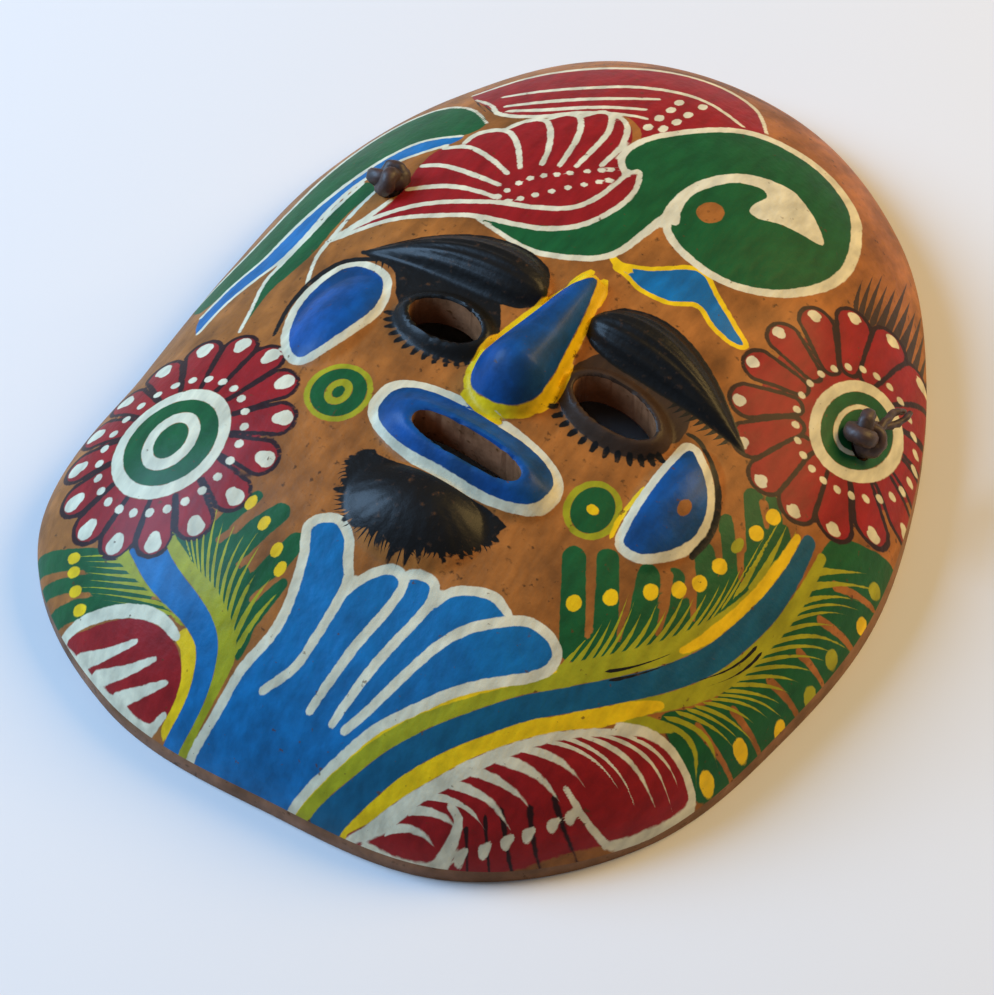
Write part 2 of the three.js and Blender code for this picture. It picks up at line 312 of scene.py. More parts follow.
def pressed_height(x, y, waves):
    """Height of the face with hand-pressed waves, fading out at the rim, and ridges combed in the beard."""
    across = np.sin(x / WAVE_ACROSS + 1.3 * np.sin(y / WAVE_ACROSS_DRIFT))
    along = np.sin(y / WAVE_ALONG + 0.9 * np.sin(x / WAVE_ALONG_DRIFT))
    fade = np.clip(2 - 2 * np.hypot(x, y) / rim_radius(x, y), 0, 1)
    dx, dy = x - CHIN["x"], y - CHIN["y"] - BEARD_CROWN
    combed = np.maximum(0, 1 - oval_share(x, y, (CHIN["x"], CHIN["y"]), CHIN["half"]) ** 4)
    turn = np.arctan2(dx, -dy)
    strands = np.sin(BEARD_RIDGES * turn) + 0.7 * np.sin(0.62 * BEARD_RIDGES * turn + 0.2 * dy)
    ridges = BEARD_RIDGE * combed * strands * np.minimum(1, np.hypot(dx, dy) / BEARD_PARTING)
    return face_height(x, y) + waves * across * along * fade + ridges


def hole_frame(spot):
    """Place on the face over a thong hole, and the turn that lays +Z along the outward direction there."""
    x, y = spot
    reach = 0.5
    across = np.array([x - reach, x + reach, x, x, x])
    along = np.array([y, y, y - reach, y + reach, y])
    z = face_height(across, along)
    outward = Vector(((z[0] - z[1]) / (2 * reach), (z[2] - z[3]) / (2 * reach), 1)).normalized()
    return Vector((x, y, z[4])), outward, Vector((0, 0, 1)).rotation_difference(outward)


def smooth_line(points, closed=False, spacing=1.2):
    """Points along a smooth curve through the given ones, about spacing apart."""
    points = np.asarray(points, float)
    before, after = (points[-1:], points[:2]) if closed else (points[:1], points[-1:])
    ring = np.vstack((before, points, after))
    line = []
    for a, b, c, d in zip(ring, ring[1:], ring[2:], ring[3:]):
        steps = max(1, math.ceil(np.linalg.norm(c - b) / spacing))
        line.extend(curve_through(a, b, c, d, t) for t in np.arange(steps) / steps)
    line.append(points[0] if closed else points[-1])
    return np.array(line)


def cross(a, b):
    """Signed area between pairs of directions in plan."""
    return a[:, 0] * b[:, 1] - a[:, 1] * b[:, 0]


class Painting:
    """Coats of paint over points in plan.

    A coat is the distance from its edge in millimetres, below 0 inside. Rows of fine strokes are a stroke's
    number and its half width, as a share of the way to the next stroke.
    """

    def __init__(self, x, y):
        self.plan = np.column_stack((x, y))
        self.coats = {coat: np.full(len(x), FAR) for coat in COATS}
        self.numbers = {coat: np.zeros(len(x)) for coat in BRUSHED}
        self.fills = {coat: np.full(len(x), NO_STROKE) for coat in BRUSHED}

    def line_field(self, line, half):
        """Distance from a line of points whose half width changes along it."""
        near = np.all((self.plan > line.min(0) - FAR) & (self.plan < line.max(0) + FAR), axis=1)
        plan = self.plan[near]
        best = np.full(len(plan), FAR)
        for a, b, half_a, half_b in zip(line, line[1:], half, half[1:]):
            run = b - a
            part = np.clip((plan - a) @ run / max(run @ run, 1e-9), 0, 1)
            gap = plan - a - part[:, None] * run
            np.minimum(best, np.hypot(gap[:, 0], gap[:, 1]) - half_a - (half_b - half_a) * part, out=best)
        field = np.full(len(self.plan), FAR)
        field[near] = best
        return field

    def stroke_field(self, points, *widths):
        """Distance from a brush stroke through points, with widths spread evenly along it."""
        line = smooth_line(points)
        half = np.interp(np.linspace(0, 1, len(line)), np.linspace(0, 1, len(widths)), widths) / 2
        return self.line_field(line, np.maximum(half, THINNEST / 2))

    def area_field(self, points):
        """Signed distance from a smooth closed outline."""
        line = smooth_line(points, closed=True)
        x, y = self.plan.T
        inside = np.zeros(len(x), bool)
        for (ax, ay), (bx, by) in zip(line, line[1:]):
            if ay != by:
                inside ^= ((ay > y) != (by > y)) & (x < (bx - ax) * (y - ay) / (by - ay) + ax)
        edge = self.line_field(line, np.zeros(len(line)))
        return np.where(inside, -edge, edge)

    def oval_field(self, middle, half, turn=0.0, squareness=2.0):
        """Distance from the edge of an oval."""
        x, y = self.plan.T
        share = oval_share(x, y, middle, half, turn, squareness)
        return np.hypot(x - middle[0], y - middle[1]) * (1 - 1 / np.maximum(share, 1e-6))

    def lay(self, coat, field):
        """Adds a shape to a coat."""
        np.minimum(self.coats[coat], field, out=self.coats[coat])

    def lift(self, field, *coats):
        """Takes a shape out of coats and their rows of strokes."""
        for coat in coats:
            np.maximum(self.coats[coat], -field, out=self.coats[coat])
            if coat in BRUSHED:
                np.minimum(self.fills[coat], field, out=self.fills[coat])

    def stroke(self, coat, points, *widths):
        """A brush stroke."""
        self.lay(coat, self.stroke_field(points, *widths))

    def edge(self, coat, field, width):
        """A line along the edge of a shape."""
        self.lay(coat, np.abs(field) - width / 2)

    def area(self, coat, points):
        """A filled shape. Gives its field back for an outline."""
        field = self.area_field(points)
        self.lay(coat, field)
        return field

    def oval(self, coat, middle, half, turn=0.0):
        """A filled oval. Gives its field back for an outline."""
        field = self.oval_field(middle, half, turn)
        self.lay(coat, field)
        return field

    def dots(self, coat, spots, *half):
        """Ovals of one size at several spots."""
        for spot in spots:
            self.oval(coat, spot, half)

    def row(self, coat, keys, count, full, draws):
        """Fine strokes of uneven length through key strokes of three points, tapering from full width."""
        keys = np.array(keys, float)
        part = np.linspace(0, 1, STROKE_STEPS)
        place = np.linspace(0, len(keys) - 1, KEY_STEPS * len(keys))
        low = np.minimum(place.astype(int), len(keys) - 2)
        strokes = keys[low] + (place - low)[:, None, None] * (keys[low + 1] - keys[low])
        bends = np.array((2 * part**2 - 3 * part + 1, 4 * part - 4 * part**2, 2 * part**2 - part))
        net = np.einsum("spc,pt->stc", strokes, bends)
        across, along = (slope.reshape(-1, 2) for slope in np.gradient(net, axis=(0, 1)))
        net = net.reshape(-1, 2)
        around = (self.plan > net.min(0) - ROW_REACH) & (self.plan < net.max(0) + ROW_REACH)
        near = np.flatnonzero(np.all(around, axis=1))
        best = np.argmin((net**2).sum(1) - 2 * self.plan[near] @ net.T, axis=1)
        gap = self.plan[near] - net[best]
        close = np.hypot(gap[:, 0], gap[:, 1]) < ROW_REACH
        near, best, gap = near[close], best[close], gap[close]
        area = cross(across[best], along[best])
        area = np.where(np.abs(area) < 1e-3, 1e-3, area)
        step = best // STROKE_STEPS + cross(gap, along[best]) / area
        number = step * (count - 1) / (len(place) - 1)
        share = (best % STROKE_STEPS + cross(across[best], gap) / area) / (STROKE_STEPS - 1)
        length = draws.uniform(0.75, 1.1, count)[np.clip(np.rint(number), 0, count - 1).astype(int)]
        fill = np.minimum(full + (STROKE_TIP - full) * share / length, full + 3 * share)
        fill = np.where(np.abs(number - (count - 1) / 2) < count / 2, fill, NO_STROKE)
        fill = np.maximum(fill, 0.9 * NO_STROKE)
        more = fill > self.fills[coat][near]
        self.numbers[coat][near[more]] = number[more]
        self.fills[coat][near[more]] = fill[more]


def paint_tail(painting):
    """Long green and blue tail feathers down the left side."""
    outer = (
        (-44, 47.5), (-50, 51.5), (-57, 52), (-63, 47.5), (-67, 40), (-69.5, 29), (-71, 15), (-73, 1),
        (-76, -12),
    )
    middle = (
        (-46, 41.5), (-53.4, 37.4), (-57.6, 31.2), (-60.4, 24.2), (-62.8, 16.5), (-64.8, 8), (-66.2, -2),
        (-68.8, -9.4),
    )
    inner = (
        (-47, 37.5), (-52.6, 31.6), (-56.5, 26), (-59, 20), (-60.1, 12.6), (-60.2, 5), (-61.2, -2.3),
        (-63.8, -8.3),
    )
    painting.area("green", outer + ((-72, -16),) + middle[::-1])
    painting.area("blue", middle + ((-70.5, -18), (-67.3, -23.5), (-66.4, -15.7)) + inner[::-1])
    painting.area("green", (
        (-57.5, 22), (-58.7, 12), (-59.3, 4), (-60, -3), (-60.5, -9), (-58.5, -17), (-57, -23),
        (-57.8, -12), (-56.4, -6), (-55.1, 0), (-55.1, 6.6), (-54.7, 13.5), (-53.2, 20),
    ))
    lines = (
        outer, middle + ((-70.5, -18),), inner + ((-66.4, -15.7), (-67.3, -23.5)),
        ((-53, 20), (-53.8, 13), (-53.8, 6), (-53.6, 0), (-51.8, -5.6), (-49.5, -10.5)),
        ((-57.5, 22), (-59, 12), (-59.6, 4), (-60.3, -3), (-60.7, -9), (-58.5, -17), (-57, -23)),
    )
    for line in lines:
        painting.stroke("cream", line, 0.7, 1.1, 0.9, 0.6)


def paint_crest(painting):
    """Second red wing along the crown, with sweeping cream lines and dots."""
    top = ((-54.5, 58.5), (-47, 68.5), (-35, 79), (-23, 87), (-12.5, 89.5), (-3, 87), (3.7, 80))
    bottom = ((-43, 51.5), (-35.4, 53.5), (-28, 59), (-20.4, 62.5), (-15, 60.5))
    painting.area("red", top + ((0, 76.5), (-6, 69), (-10.5, 62.5), (-13, 58)) + bottom[::-1])
    lines = (
        top, ((-47, 58), (-41, 62), (-33, 67.5), (-25.5, 73.5), (-17.5, 78), (-9.9, 79.6), (-0.5, 77.5)),
        ((-44, 54.5), (-36.4, 59.3), (-26.7, 66), (-18, 73)),
        ((-42.4, 53), (-34.7, 56.5), (-24.8, 63), (-18, 67.5)),
        ((-52, 56), (-47, 54), (-43, 51.3), (-35.4, 53.3), (-28, 58.5), (-20.4, 62.9), (-16, 64.7)),
    )
    for line in lines:
        painting.stroke("cream", line, 0.8, 1.3, 1.2, 0.8)
    for column in (
        ((-14.3, 74.8), (-14.1, 71), (-14.3, 66.7), (-14.3, 62.3)),
        ((-10, 77), (-10.5, 72), (-10.9, 68), (-11.7, 64)),
    ):
        painting.dots("cream", column, 0.9, 1.4)


def paint_wing(painting):
    """Red fan of cream-lined feathers with two rows of dots, left of the bird."""
    outline = (
        (-9.6, 47.5), (-13, 50), (-14.3, 56), (-17, 60), (-19.5, 61.3), (-22.5, 61.5), (-25, 60.8),
        (-27.3, 57.5), (-30.3, 57), (-32.8, 53.3), (-36.7, 51), (-39, 46.5), (-43.7, 43.5), (-44.5, 38.5),
        (-47.5, 36), (-48.5, 31), (-48, 24), (-47.5, 17), (-50, 11), (-54, 4), (-45, 12.5), (-35, 17.9),
        (-21.5, 22.4), (-9.5, 29.2), (-6, 37), (-6, 44), (-8, 48.5),
    )
    painting.lift(painting.area("red", outline), "green", "blue", "cream")
    feathers = (
        ((-30.5, 34.4), (-36, 36.7), (-41, 38.2), (-43.7, 38), (-47, 36.3)),
        ((-29.2, 37), (-33, 42.3), (-37.3, 46), (-40.7, 45.7), (-43.5, 43), (-44, 39.3)),
        ((-25.8, 40), (-27.3, 45), (-30.4, 50.4), (-33.4, 52.7), (-36.7, 50.8), (-38.7, 47)),
        ((-22.5, 41.4), (-23.4, 48), (-25, 53.4), (-27.6, 57), (-30.3, 56.6), (-32.4, 54)),
        ((-19.5, 43), (-19.4, 52.3), (-20.3, 57.4), (-22.7, 61.2), (-25, 60.6), (-26.8, 58)),
        ((-15.3, 46), (-15.2, 53.4), (-17, 58.7), (-19.3, 61), (-21.7, 61.4)),
        ((-30, 30.7), (-36.3, 31), (-43.6, 31), (-48, 29.5)),
        ((-28.3, 27), (-34, 27), (-40, 25.6), (-46.5, 22)),
        (
            (-54, 4), (-49.5, 11), (-43, 17.5), (-37.3, 21.4), (-28, 25.7), (-20, 28.4), (-13.6, 32.2),
            (-10.7, 38), (-9.7, 47),
        ),
        (
            (-54, 4), (-45, 12.5), (-35, 18), (-29.6, 20.4), (-21.5, 22.4), (-15, 24.7), (-9.5, 29.2),
            (-6.3, 36.2), (-5.7, 43), (-8, 48.7), (-9.7, 47),
        ),
        ((-54, 4), (-50, 12), (-48, 18)),
    )
    for line in feathers:
        painting.stroke("cream", line, 1.1, 1.3, 1.3, 1.1)
    for row, count in (
        (((-13, 46), (-20.5, 39.7), (-26, 34.6), (-28.2, 27.5)), 10),
        (((-11.6, 43), (-18, 35.8), (-25.6, 27.2)), 8),
    ):
        line = smooth_line(row, spacing=0.3)
        painting.dots("cream", line[np.linspace(0, len(line) - 1, count).astype(int)], 0.8, 0.75)


def paint_bird(painting):
    """Curled green bird with a cream outline, eye dot and beak, on the forehead."""
    back = (
        (3.2, 40.5), (6.5, 37), (11.6, 34.9), (18.6, 34), (24.5, 35.4), (30, 39.4), (33.6, 44.8),
        (35.8, 51.2), (35.8, 58.5), (33, 66.8), (27.5, 75), (18, 79.5), (7.5, 79), (0.5, 75.8),
        (-6, 68.5), (-10.5, 62), (-12.8, 57), (-13.6, 52.5), (-12.5, 49), (-9.6, 46.5),
    )
    neck = ((-28, 20), (-16, 18.2), (-9, 19.7), (-3, 22.9), (0.2, 27.2), (1.8, 34.3), (2.9, 41.5))
    painting.area("green", neck + back[1:] + ((-6, 44), (-6, 37), (-9.5, 29.2), (-21.5, 22.4)))
    painting.stroke("cream", back, 1.6, 1.8, 2.0, 2.2, 2.4, 2.2, 1.8, 1.5, 1.5)
    painting.stroke("cream", neck, 0.9, 1.4, 1.5, 1.8)
    painting.area("cream", (
        (2.4, 40.5), (1.4, 46.2), (2, 52.7), (4.8, 59), (9.8, 64.5), (16.5, 67.2), (21, 66), (26, 63),
        (29.5, 58.8), (23.6, 57), (20.4, 55.7), (17.2, 53.8), (14.8, 54.2), (14.4, 57), (15, 61),
        (12.5, 62), (8, 59), (4.8, 53.2), (3.8, 49.6), (4.3, 45), (6, 40.5),
    ))
    painting.lift(painting.oval_field((9.2, 48.1), (2.7, 3.2)), "green")


def paint_chevron(painting):
    """Blue chevron with a yellow edge between bird and brow."""
    field = painting.area("blue", (
        (2, 24.2), (8, 27.4), (14, 32.6), (17.5, 32.8), (22, 29.6), (28, 26.2), (32, 23.8), (29.6, 22.6),
        (25, 23.4), (20, 25.6), (15, 22.6), (9, 22.1), (5, 23.4),
    ))
    painting.edge("yellow", field - 0.3, 1.1)
    painting.stroke("yellow", ((-0.2, 25.6), (1.6, 24.8), (5, 24.6)), 1.2, 2.0, 0.9)


def paint_flower(painting, middle, reach, start, ring_middle, rings, tip_dot, stretch):
    """Red flower: sixteen dark-edged petals with cream dots around rings of cream and green."""
    ground = painting.oval("red", middle, (0.75 * reach[0], 0.75 * reach[1]))
    for turn in np.radians(start + 360 / PETALS * np.arange(PETALS)):
        out = np.array((math.cos(turn) * reach[0], math.sin(turn) * reach[1]))
        aim = out / np.linalg.norm(out)
        line = (middle + 0.45 * out, middle + out - aim * PETAL_WIDTH / 2)
        petal = painting.stroke_field(line, 0.5 * PETAL_WIDTH, PETAL_WIDTH)
        ground = np.minimum(ground, petal)
        painting.lift(petal, "outline")
        painting.lay("red", petal)
        painting.edge("outline", petal, 0.9)
        tip = middle + out - (tip_dot + 0.6) * aim
        painting.stroke("cream", (tip - stretch * aim, tip), 1.4 * tip_dot, 2 * tip_dot)
    painting.lift(ground, "blue", "teal", "olive", "yellow")
    size = np.array(rings[0][1]) + 2.8
    for turn in np.radians(np.arange(0, 360, 360 / RING_DOTS)):
        spot = ring_middle + size * (math.cos(turn), math.sin(turn))
        painting.oval("cream", spot, (0.52 * tip_dot, 0.52 * tip_dot))
    for coat, half in rings:
        field = painting.oval_field(ring_middle, half)
        painting.lift(field, *COATS[1:])
        painting.lay(coat, field)


def paint_band(painting, draws):
    """Teal band with olive and yellow edges and fringed greens, from the right flower down to the chin."""
    middle = (
        (63, -2), (64, -10), (64, -18), (62.8, -26.7), (60.6, -35.4), (56.8, -43.2), (51.7, -50.4),
        (43.5, -59.5), (38, -65), (33, -70.7), (26.6, -78.2), (21.2, -85.3), (17, -92), (12.5, -98.5),
        (10, -103),
    )
    painting.area("green", (
        (65.5, 2), (70, 8), (77, 13), (80, 0), (80, -15), (78, -30), (74.5, -44), (69.5, -55),
        (62, -51.8), (59, -49.5), (64, -42), (66, -33), (67, -20), (66.8, -9),
    ))
    painting.area("green", (
        (39, -52), (41.5, -45.5), (46, -38), (50, -32.5), (53, -25), (54.5, -18), (56, -10), (58, -3),
        (62, -8), (62, -20), (58, -32), (52, -43), (45, -53),
    ))
    for tip, root, width in (
        ((30.5, -36.5), (39.4, -51.2), 4.6), ((36, -33), (42.5, -44), 4.4), ((44, -31), (47.4, -39), 4.6),
        ((48, -27.5), (51, -35), 3.6), ((49.5, -19.5), (54, -25), 4.2), ((50, -11.5), (55.2, -19.5), 3.8),
        ((51, -3.5), (57, -11.6), 4.2), ((54, -1.5), (58, -6.5), 3.2),
    ):
        painting.stroke("green", (root, tip), 1.1 * width, width)
    for gap in (
        ((32.3, -32.9), (36.4, -39.5), (40.6, -47.7)), ((41.5, -33.4), (43.6, -39.1), (45.7, -44.5)),
        ((46.8, -28.1), (49.5, -34.1), (50.9, -38.7)), ((49.2, -24), (52.1, -27.8), (54.5, -31.6)),
        ((49.2, -14.9), (50.9, -16.8), (52.6, -18.7)), ((49.7, -8.7), (52.6, -11.6), (57.4, -18.6)),
        ((52.9, -3), (54.5, -4.7), (55.7, -6.3)),
    ):
        painting.lift(painting.stroke_field(gap, 1.8, 1.6, 1.0), "green")
    for dart in (
        ((70.5, -3.7), (76.6, 1.9)), ((71.8, -11.3), (79, -7)), ((72, -19.4), (77, -18.1)),
        ((70.6, -28.2), (78, -26)), ((68.4, -38.2), (75.5, -37.9)), ((65.1, -46), (74, -46)),
    ):
        painting.lift(painting.stroke_field(dart, 1.8, 0.8), "green")
    painting.stroke("umber", ((59, -50.5), (64, -52.6), (69, -55.6)), 0.8, 1.0, 0.8)
    painting.dots("yellow", (
        (35.3, -44.1), (40.4, -39), (45.8, -33.2), (49.7, -29.1), (52, -25.2), (53.1, -19.6),
        (54.9, -8.9), (55.6, -3.7), (72.1, -41.5), (70.3, -50.9),
    ), 1.4, 1.7)
    painting.dots("yellow", ((76.7, -3.1), (75.2, -31.6)), 0.8, 1.7)
    painting.dots("olive", ((53.5, -13.7), (75.2, 4.3), (76.1, -13.8), (76.4, -22.2)), 1.0, 1.8)
    painting.row("olive", (
        ((39.7, -55.4), (40.3, -51), (40.9, -47)), ((43.2, -52), (43.3, -46.4), (42.5, -41)),
        ((45.3, -50), (45.8, -44.4), (45, -38)), ((48.6, -45.5), (49.3, -40.5), (48.9, -35.5)),
        ((51.8, -41), (52.4, -35.5), (52, -30)), ((55, -35), (55.2, -28.6), (54.6, -23)),
        ((57, -29), (56.9, -23.2), (56.2, -18.5)), ((58, -21), (57.3, -12.4), (56.8, -5)),
        ((61.4, -14), (61, -6.5), (59.6, -1)),
    ), 18, 0.4, draws)
    painting.row("olive", (
        ((66.5, -5.6), (69.5, -1.1), (72.9, 4.6)), ((67.4, -13.5), (70.2, -7.5), (73.4, -2.5)),
        ((67.5, -18), (70.7, -10.9), (74.6, -5)), ((67.2, -24), (70.8, -16.9), (75, -11.4)),
        ((67, -28.6), (70.8, -21.8), (75, -16)), ((66.8, -32.4), (70.6, -27), (74.2, -23)),
        ((66, -36.4), (70.4, -31.7), (73.6, -29)), ((64.9, -39.6), (68.7, -35.8), (72.2, -33.4)),
        ((63.6, -43), (67.4, -40.7), (71.2, -39)), ((61.8, -46.4), (67.1, -43.6), (71, -42.5)),
        ((59.6, -51), (64.6, -49), (67.8, -51)),
    ), 21, 0.36, draws)
    strip = (
        (66.2, -2), (67.1, -10), (67.1, -18), (66.2, -26), (64.6, -34.5), (61.8, -41.4), (57, -48.5),
        (51, -55.5),
    )
    painting.stroke("olive", strip, 1.6, 2.4, 2.8, 3.2, 3.6, 3.4)
    painting.stroke("olive", (
        (61.3, -6), (61, -13), (60.5, -21), (58.4, -30), (54.6, -38.7), (50, -46), (43.8, -53.3),
        (37, -60.5), (31, -67), (25.5, -73), (20, -79.5), (15.5, -86), (11, -93.5), (7.5, -99),
    ), 1.2, 2.6, 3.4, 4.0, 4.4, 4.6, 4.6, 4.4, 4.2, 4.0)
    for streaks in (
        (((66.9, -26.5), (65.9, -32), (63.6, -37.5)), ((65.7, -26.5), (64.6, -32), (62.2, -37.5))),
        (((47.2, -50.4), (51, -46), (54.4, -40.4)), ((48.6, -51.2), (52.2, -46.8), (55.6, -41.2))),
    ):
        painting.row("black", streaks, 2, 0.22, draws)
    painting.stroke("yellow", (
        (61, -3), (61.6, -11), (61.4, -18.5), (60, -26.5), (57.7, -34), (56, -38),
    ), 1.2, 2.6, 2.8, 2.4, 1.0)
    painting.stroke("yellow", (
        (39, -56.5), (35.3, -60.8), (29.6, -66.4), (24, -72), (18.8, -78), (14, -85), (9, -93.5),
        (5.6, -99),
    ), 0.8, 2.2, 1.6, 1.2)
    painting.stroke("yellow", (
        (58, -48.5), (52.4, -55), (46.4, -61.5), (40.4, -68), (34.8, -74.7), (28.4, -83), (22.4, -90.7),
        (17, -98.5),
    ), 1.4, 4.6, 5.8, 6.0, 5.8)
    painting.stroke("olive", ((61.5, -50), (58, -52.8), (54, -56.2)), 1.2, 3.0, 1.2)
    body = painting.stroke_field(middle, 2.6, 4.2, 4.4, 4.4, 4.4, 4.6, 5.2, 5.6)
    painting.lift(body, "olive", "yellow", "green")
    painting.lay("teal", body)


def paint_fan(painting):
    """Blue fan of cream-lined feathers under the chin."""
    field = painting.area("blue", (
        (-16.5, -57), (-13, -54), (-9, -55.5), (-5, -62), (-2, -61), (1, -57.3), (4, -57), (7, -55.4),
        (10.3, -55.1), (13, -57.5), (18, -53), (22.2, -51.7), (27, -53.5), (34.6, -52), (38, -57),
        (30, -65.6), (20, -76.5), (11, -89.4), (5, -99.3), (3, -104), (-17.5, -104), (-17, -98.7),
        (-14.4, -85), (-12.2, -74), (-14.4, -63),
    ))
    painting.lift(field + 0.4, "green", "olive", "yellow")
    lines = (
        (
            (-17.5, -100), (-15.4, -93), (-14.4, -85), (-12.2, -77.8), (-12.2, -71.6), (-14.4, -63),
            (-17, -57), (-13, -53.6), (-9, -55.3), (-6.6, -59), (-4, -64), (-4.2, -75), (-5.2, -80.7),
            (-8.6, -86),
        ),

        ((-3.6, -65), (-2, -61), (1, -57.3), (4, -56.8), (5.7, -58.6), (5.4, -64), (3.5, -73), (1.6, -85)),
        ((4.7, -57), (7, -55.4), (10.3, -55.1), (12, -57.5), (11.7, -62), (9, -72.7), (6.8, -85)),
        ((13, -58.5), (14.4, -55.4), (18, -52.9), (22.2, -51.7), (26, -53)),
        (
            (9.6, -85), (12.3, -79.6), (17.3, -66), (20.8, -60), (25.2, -55.6), (29.8, -52.2),
            (34.6, -51.9), (37.6, -53.6), (38, -57), (35, -61), (29.8, -65.6), (24.6, -70.6),
            (19.8, -76.5), (15, -82.3), (11, -89.4), (7.4, -95.5), (4.6, -100),
        ),
    )
    for line in lines:
        painting.stroke("cream", line, 1.7, 2.0, 1.9, 2.0, 1.6)


def paint_left_corner(painting, draws):
    """Blue band, green fingers and a red half flower at the lower left."""
    middle = (
        (-46, -72), (-40.4, -75.6), (-35.5, -77.8), (-30.4, -79.6), (-26, -81.6), (-23, -84),
        (-21.3, -87.3), (-20.4, -91.3), (-20.7, -95.7), (-22.5, -101),
    )
    painting.area("green", (
        (-42, -68), (-36, -66), (-31, -64), (-27, -66), (-22, -70), (-18.5, -73), (-16, -77), (-16, -84),
        (-22, -79), (-30, -75), (-37, -72),
    ))
    for finger, width in (
        (((-34, -68), (-32, -61), (-29.6, -56.5)), 3.2),
        (((-28, -69), (-25.6, -62), (-23.5, -57.5)), 5.2),
        (((-20.5, -75), (-18.8, -67), (-17.4, -61)), 4.8),
        (((-17.8, -80.5), (-16.9, -75), (-15.6, -69)), 3.2),
        (((-44, -76), (-58.3, -78.3), (-68.5, -78.9)), 4.6),
        (((-40, -79.4), (-55.5, -82.3), (-65, -84)), 3.8),
        (((-35, -82.2), (-51.4, -85.4), (-60.5, -88.2)), 3.8),
    ):
        painting.stroke("green", finger, width, width, 0.8 * width)
    for gap in (
        ((-31.6, -66.7), (-29.6, -62.3), (-27.9, -56.1)), ((-25, -69.3), (-22.6, -64.7), (-21, -59)),
        ((-19, -73.7), (-17.5, -69.9), (-16.1, -67.3)), ((-68, -81.6), (-60.8, -80.9), (-55.7, -80.1)),
        ((-65, -85.6), (-57.5, -84.3), (-52, -83.4)),
    ):
        painting.lift(painting.stroke_field(gap, 1.5, 1.2, 0.8), "green")
    painting.dots("yellow", ((-25.2, -60.5), (-20, -63.9), (-17.3, -66.7), (-30, -57.9)), 1.1, 1.6)
    painting.dots("yellow", ((-59.4, -78), (-57.9, -80.3), (-55.5, -83.2), (-52.6, -85.9)), 1.5, 1.0)
    painting.row("olive", (
        ((-33.6, -73), (-37.4, -69.6), (-40.3, -66.8)), ((-31.6, -73.4), (-34.6, -69.4), (-37.4, -65)),
        ((-27.8, -75), (-30.8, -70), (-33.8, -62.2)), ((-24, -77), (-26.3, -71.4), (-27, -64.4)),
        ((-20.6, -79.4), (-21.9, -74.1), (-22.3, -69.4)), ((-17, -82.4), (-16.5, -76.3), (-15.3, -70.8)),
    ), 13, 0.38, draws)
    painting.row("olive", (
        ((-48, -75), (-52.4, -76.4), (-58.2, -77.6)), ((-43.3, -77.2), (-49.1, -78.5), (-55, -79.2)),
        ((-38, -79.4), (-44.9, -80.7), (-52.4, -81.8)), ((-32, -81.8), (-38, -82.4), (-45, -83.2)),
    ), 8, 0.36, draws)
    painting.area("olive", (
        (-42.9, -68.3), (-38.2, -70.4), (-32.7, -73), (-27.3, -74.8), (-21.8, -77.8), (-18.5, -80.6),
        (-16.6, -83.6), (-16.3, -87), (-16.8, -91.9), (-17.5, -97.5), (-18.4, -101),
    ) + middle[::-1])
    under = ((-51, -75.4), (-47, -77.6), (-40.7, -79.6), (-33.4, -81.8), (-30, -83))
    painting.area("olive", under + middle[4::-1])
    painting.area("yellow", (
        (-28, -82.6), (-24.2, -85), (-21.7, -90.6), (-21.8, -96.3), (-22.9, -99), (-25, -98),
        (-24.3, -94.3), (-25, -90.2), (-27.9, -86.3), (-29.9, -85.3),
    ))
    band = painting.stroke_field(middle, 6.6, 6.0, 5.0, 4.4, 3.8, 3.4)
    painting.lift(band, "olive", "yellow", "green")
    painting.lay("blue", band)
    half = painting.area("red", (
        (-53, -90.3), (-48.9, -88.4), (-44.1, -86.2), (-39.2, -84.6), (-33.6, -84.6), (-29.2, -86),
        (-26, -88.7), (-24.4, -91.7), (-24.2, -94.6), (-26, -98), (-31, -98.5), (-38.4, -97.2),
        (-49, -93),
    ))
    painting.lift(half, "green", "blue", "olive")
    painting.stroke("cream", (
        (-55, -90.4), (-52.4, -88.6), (-50, -87.2), (-44.6, -84.8), (-40.2, -83.6), (-36.4, -83.2),
        (-33, -83.6), (-29.6, -85),
    ), 1.6, 2.3, 2.5, 2.4, 1.6)
    painting.stroke("cream", (
        (-55, -90.6), (-48.2, -93.6), (-43.2, -95.8), (-36.8, -97.6), (-31, -98.8), (-27.3, -98.5),
        (-25.4, -96.2),
    ), 1.4, 2.4, 2.6, 1.2)
    for root, bend, tip in (
        ((-48.6, -92.9), (-42.8, -91.3), (-37.3, -88.1)),
        ((-43.1, -94.7), (-37.1, -92.8), (-31.8, -89.5)), ((-37, -96.9), (-32.2, -94.8), (-27.5, -92)),
    ):
        painting.stroke("cream", (root, bend, tip), 2.6, 2.0, 1.0)


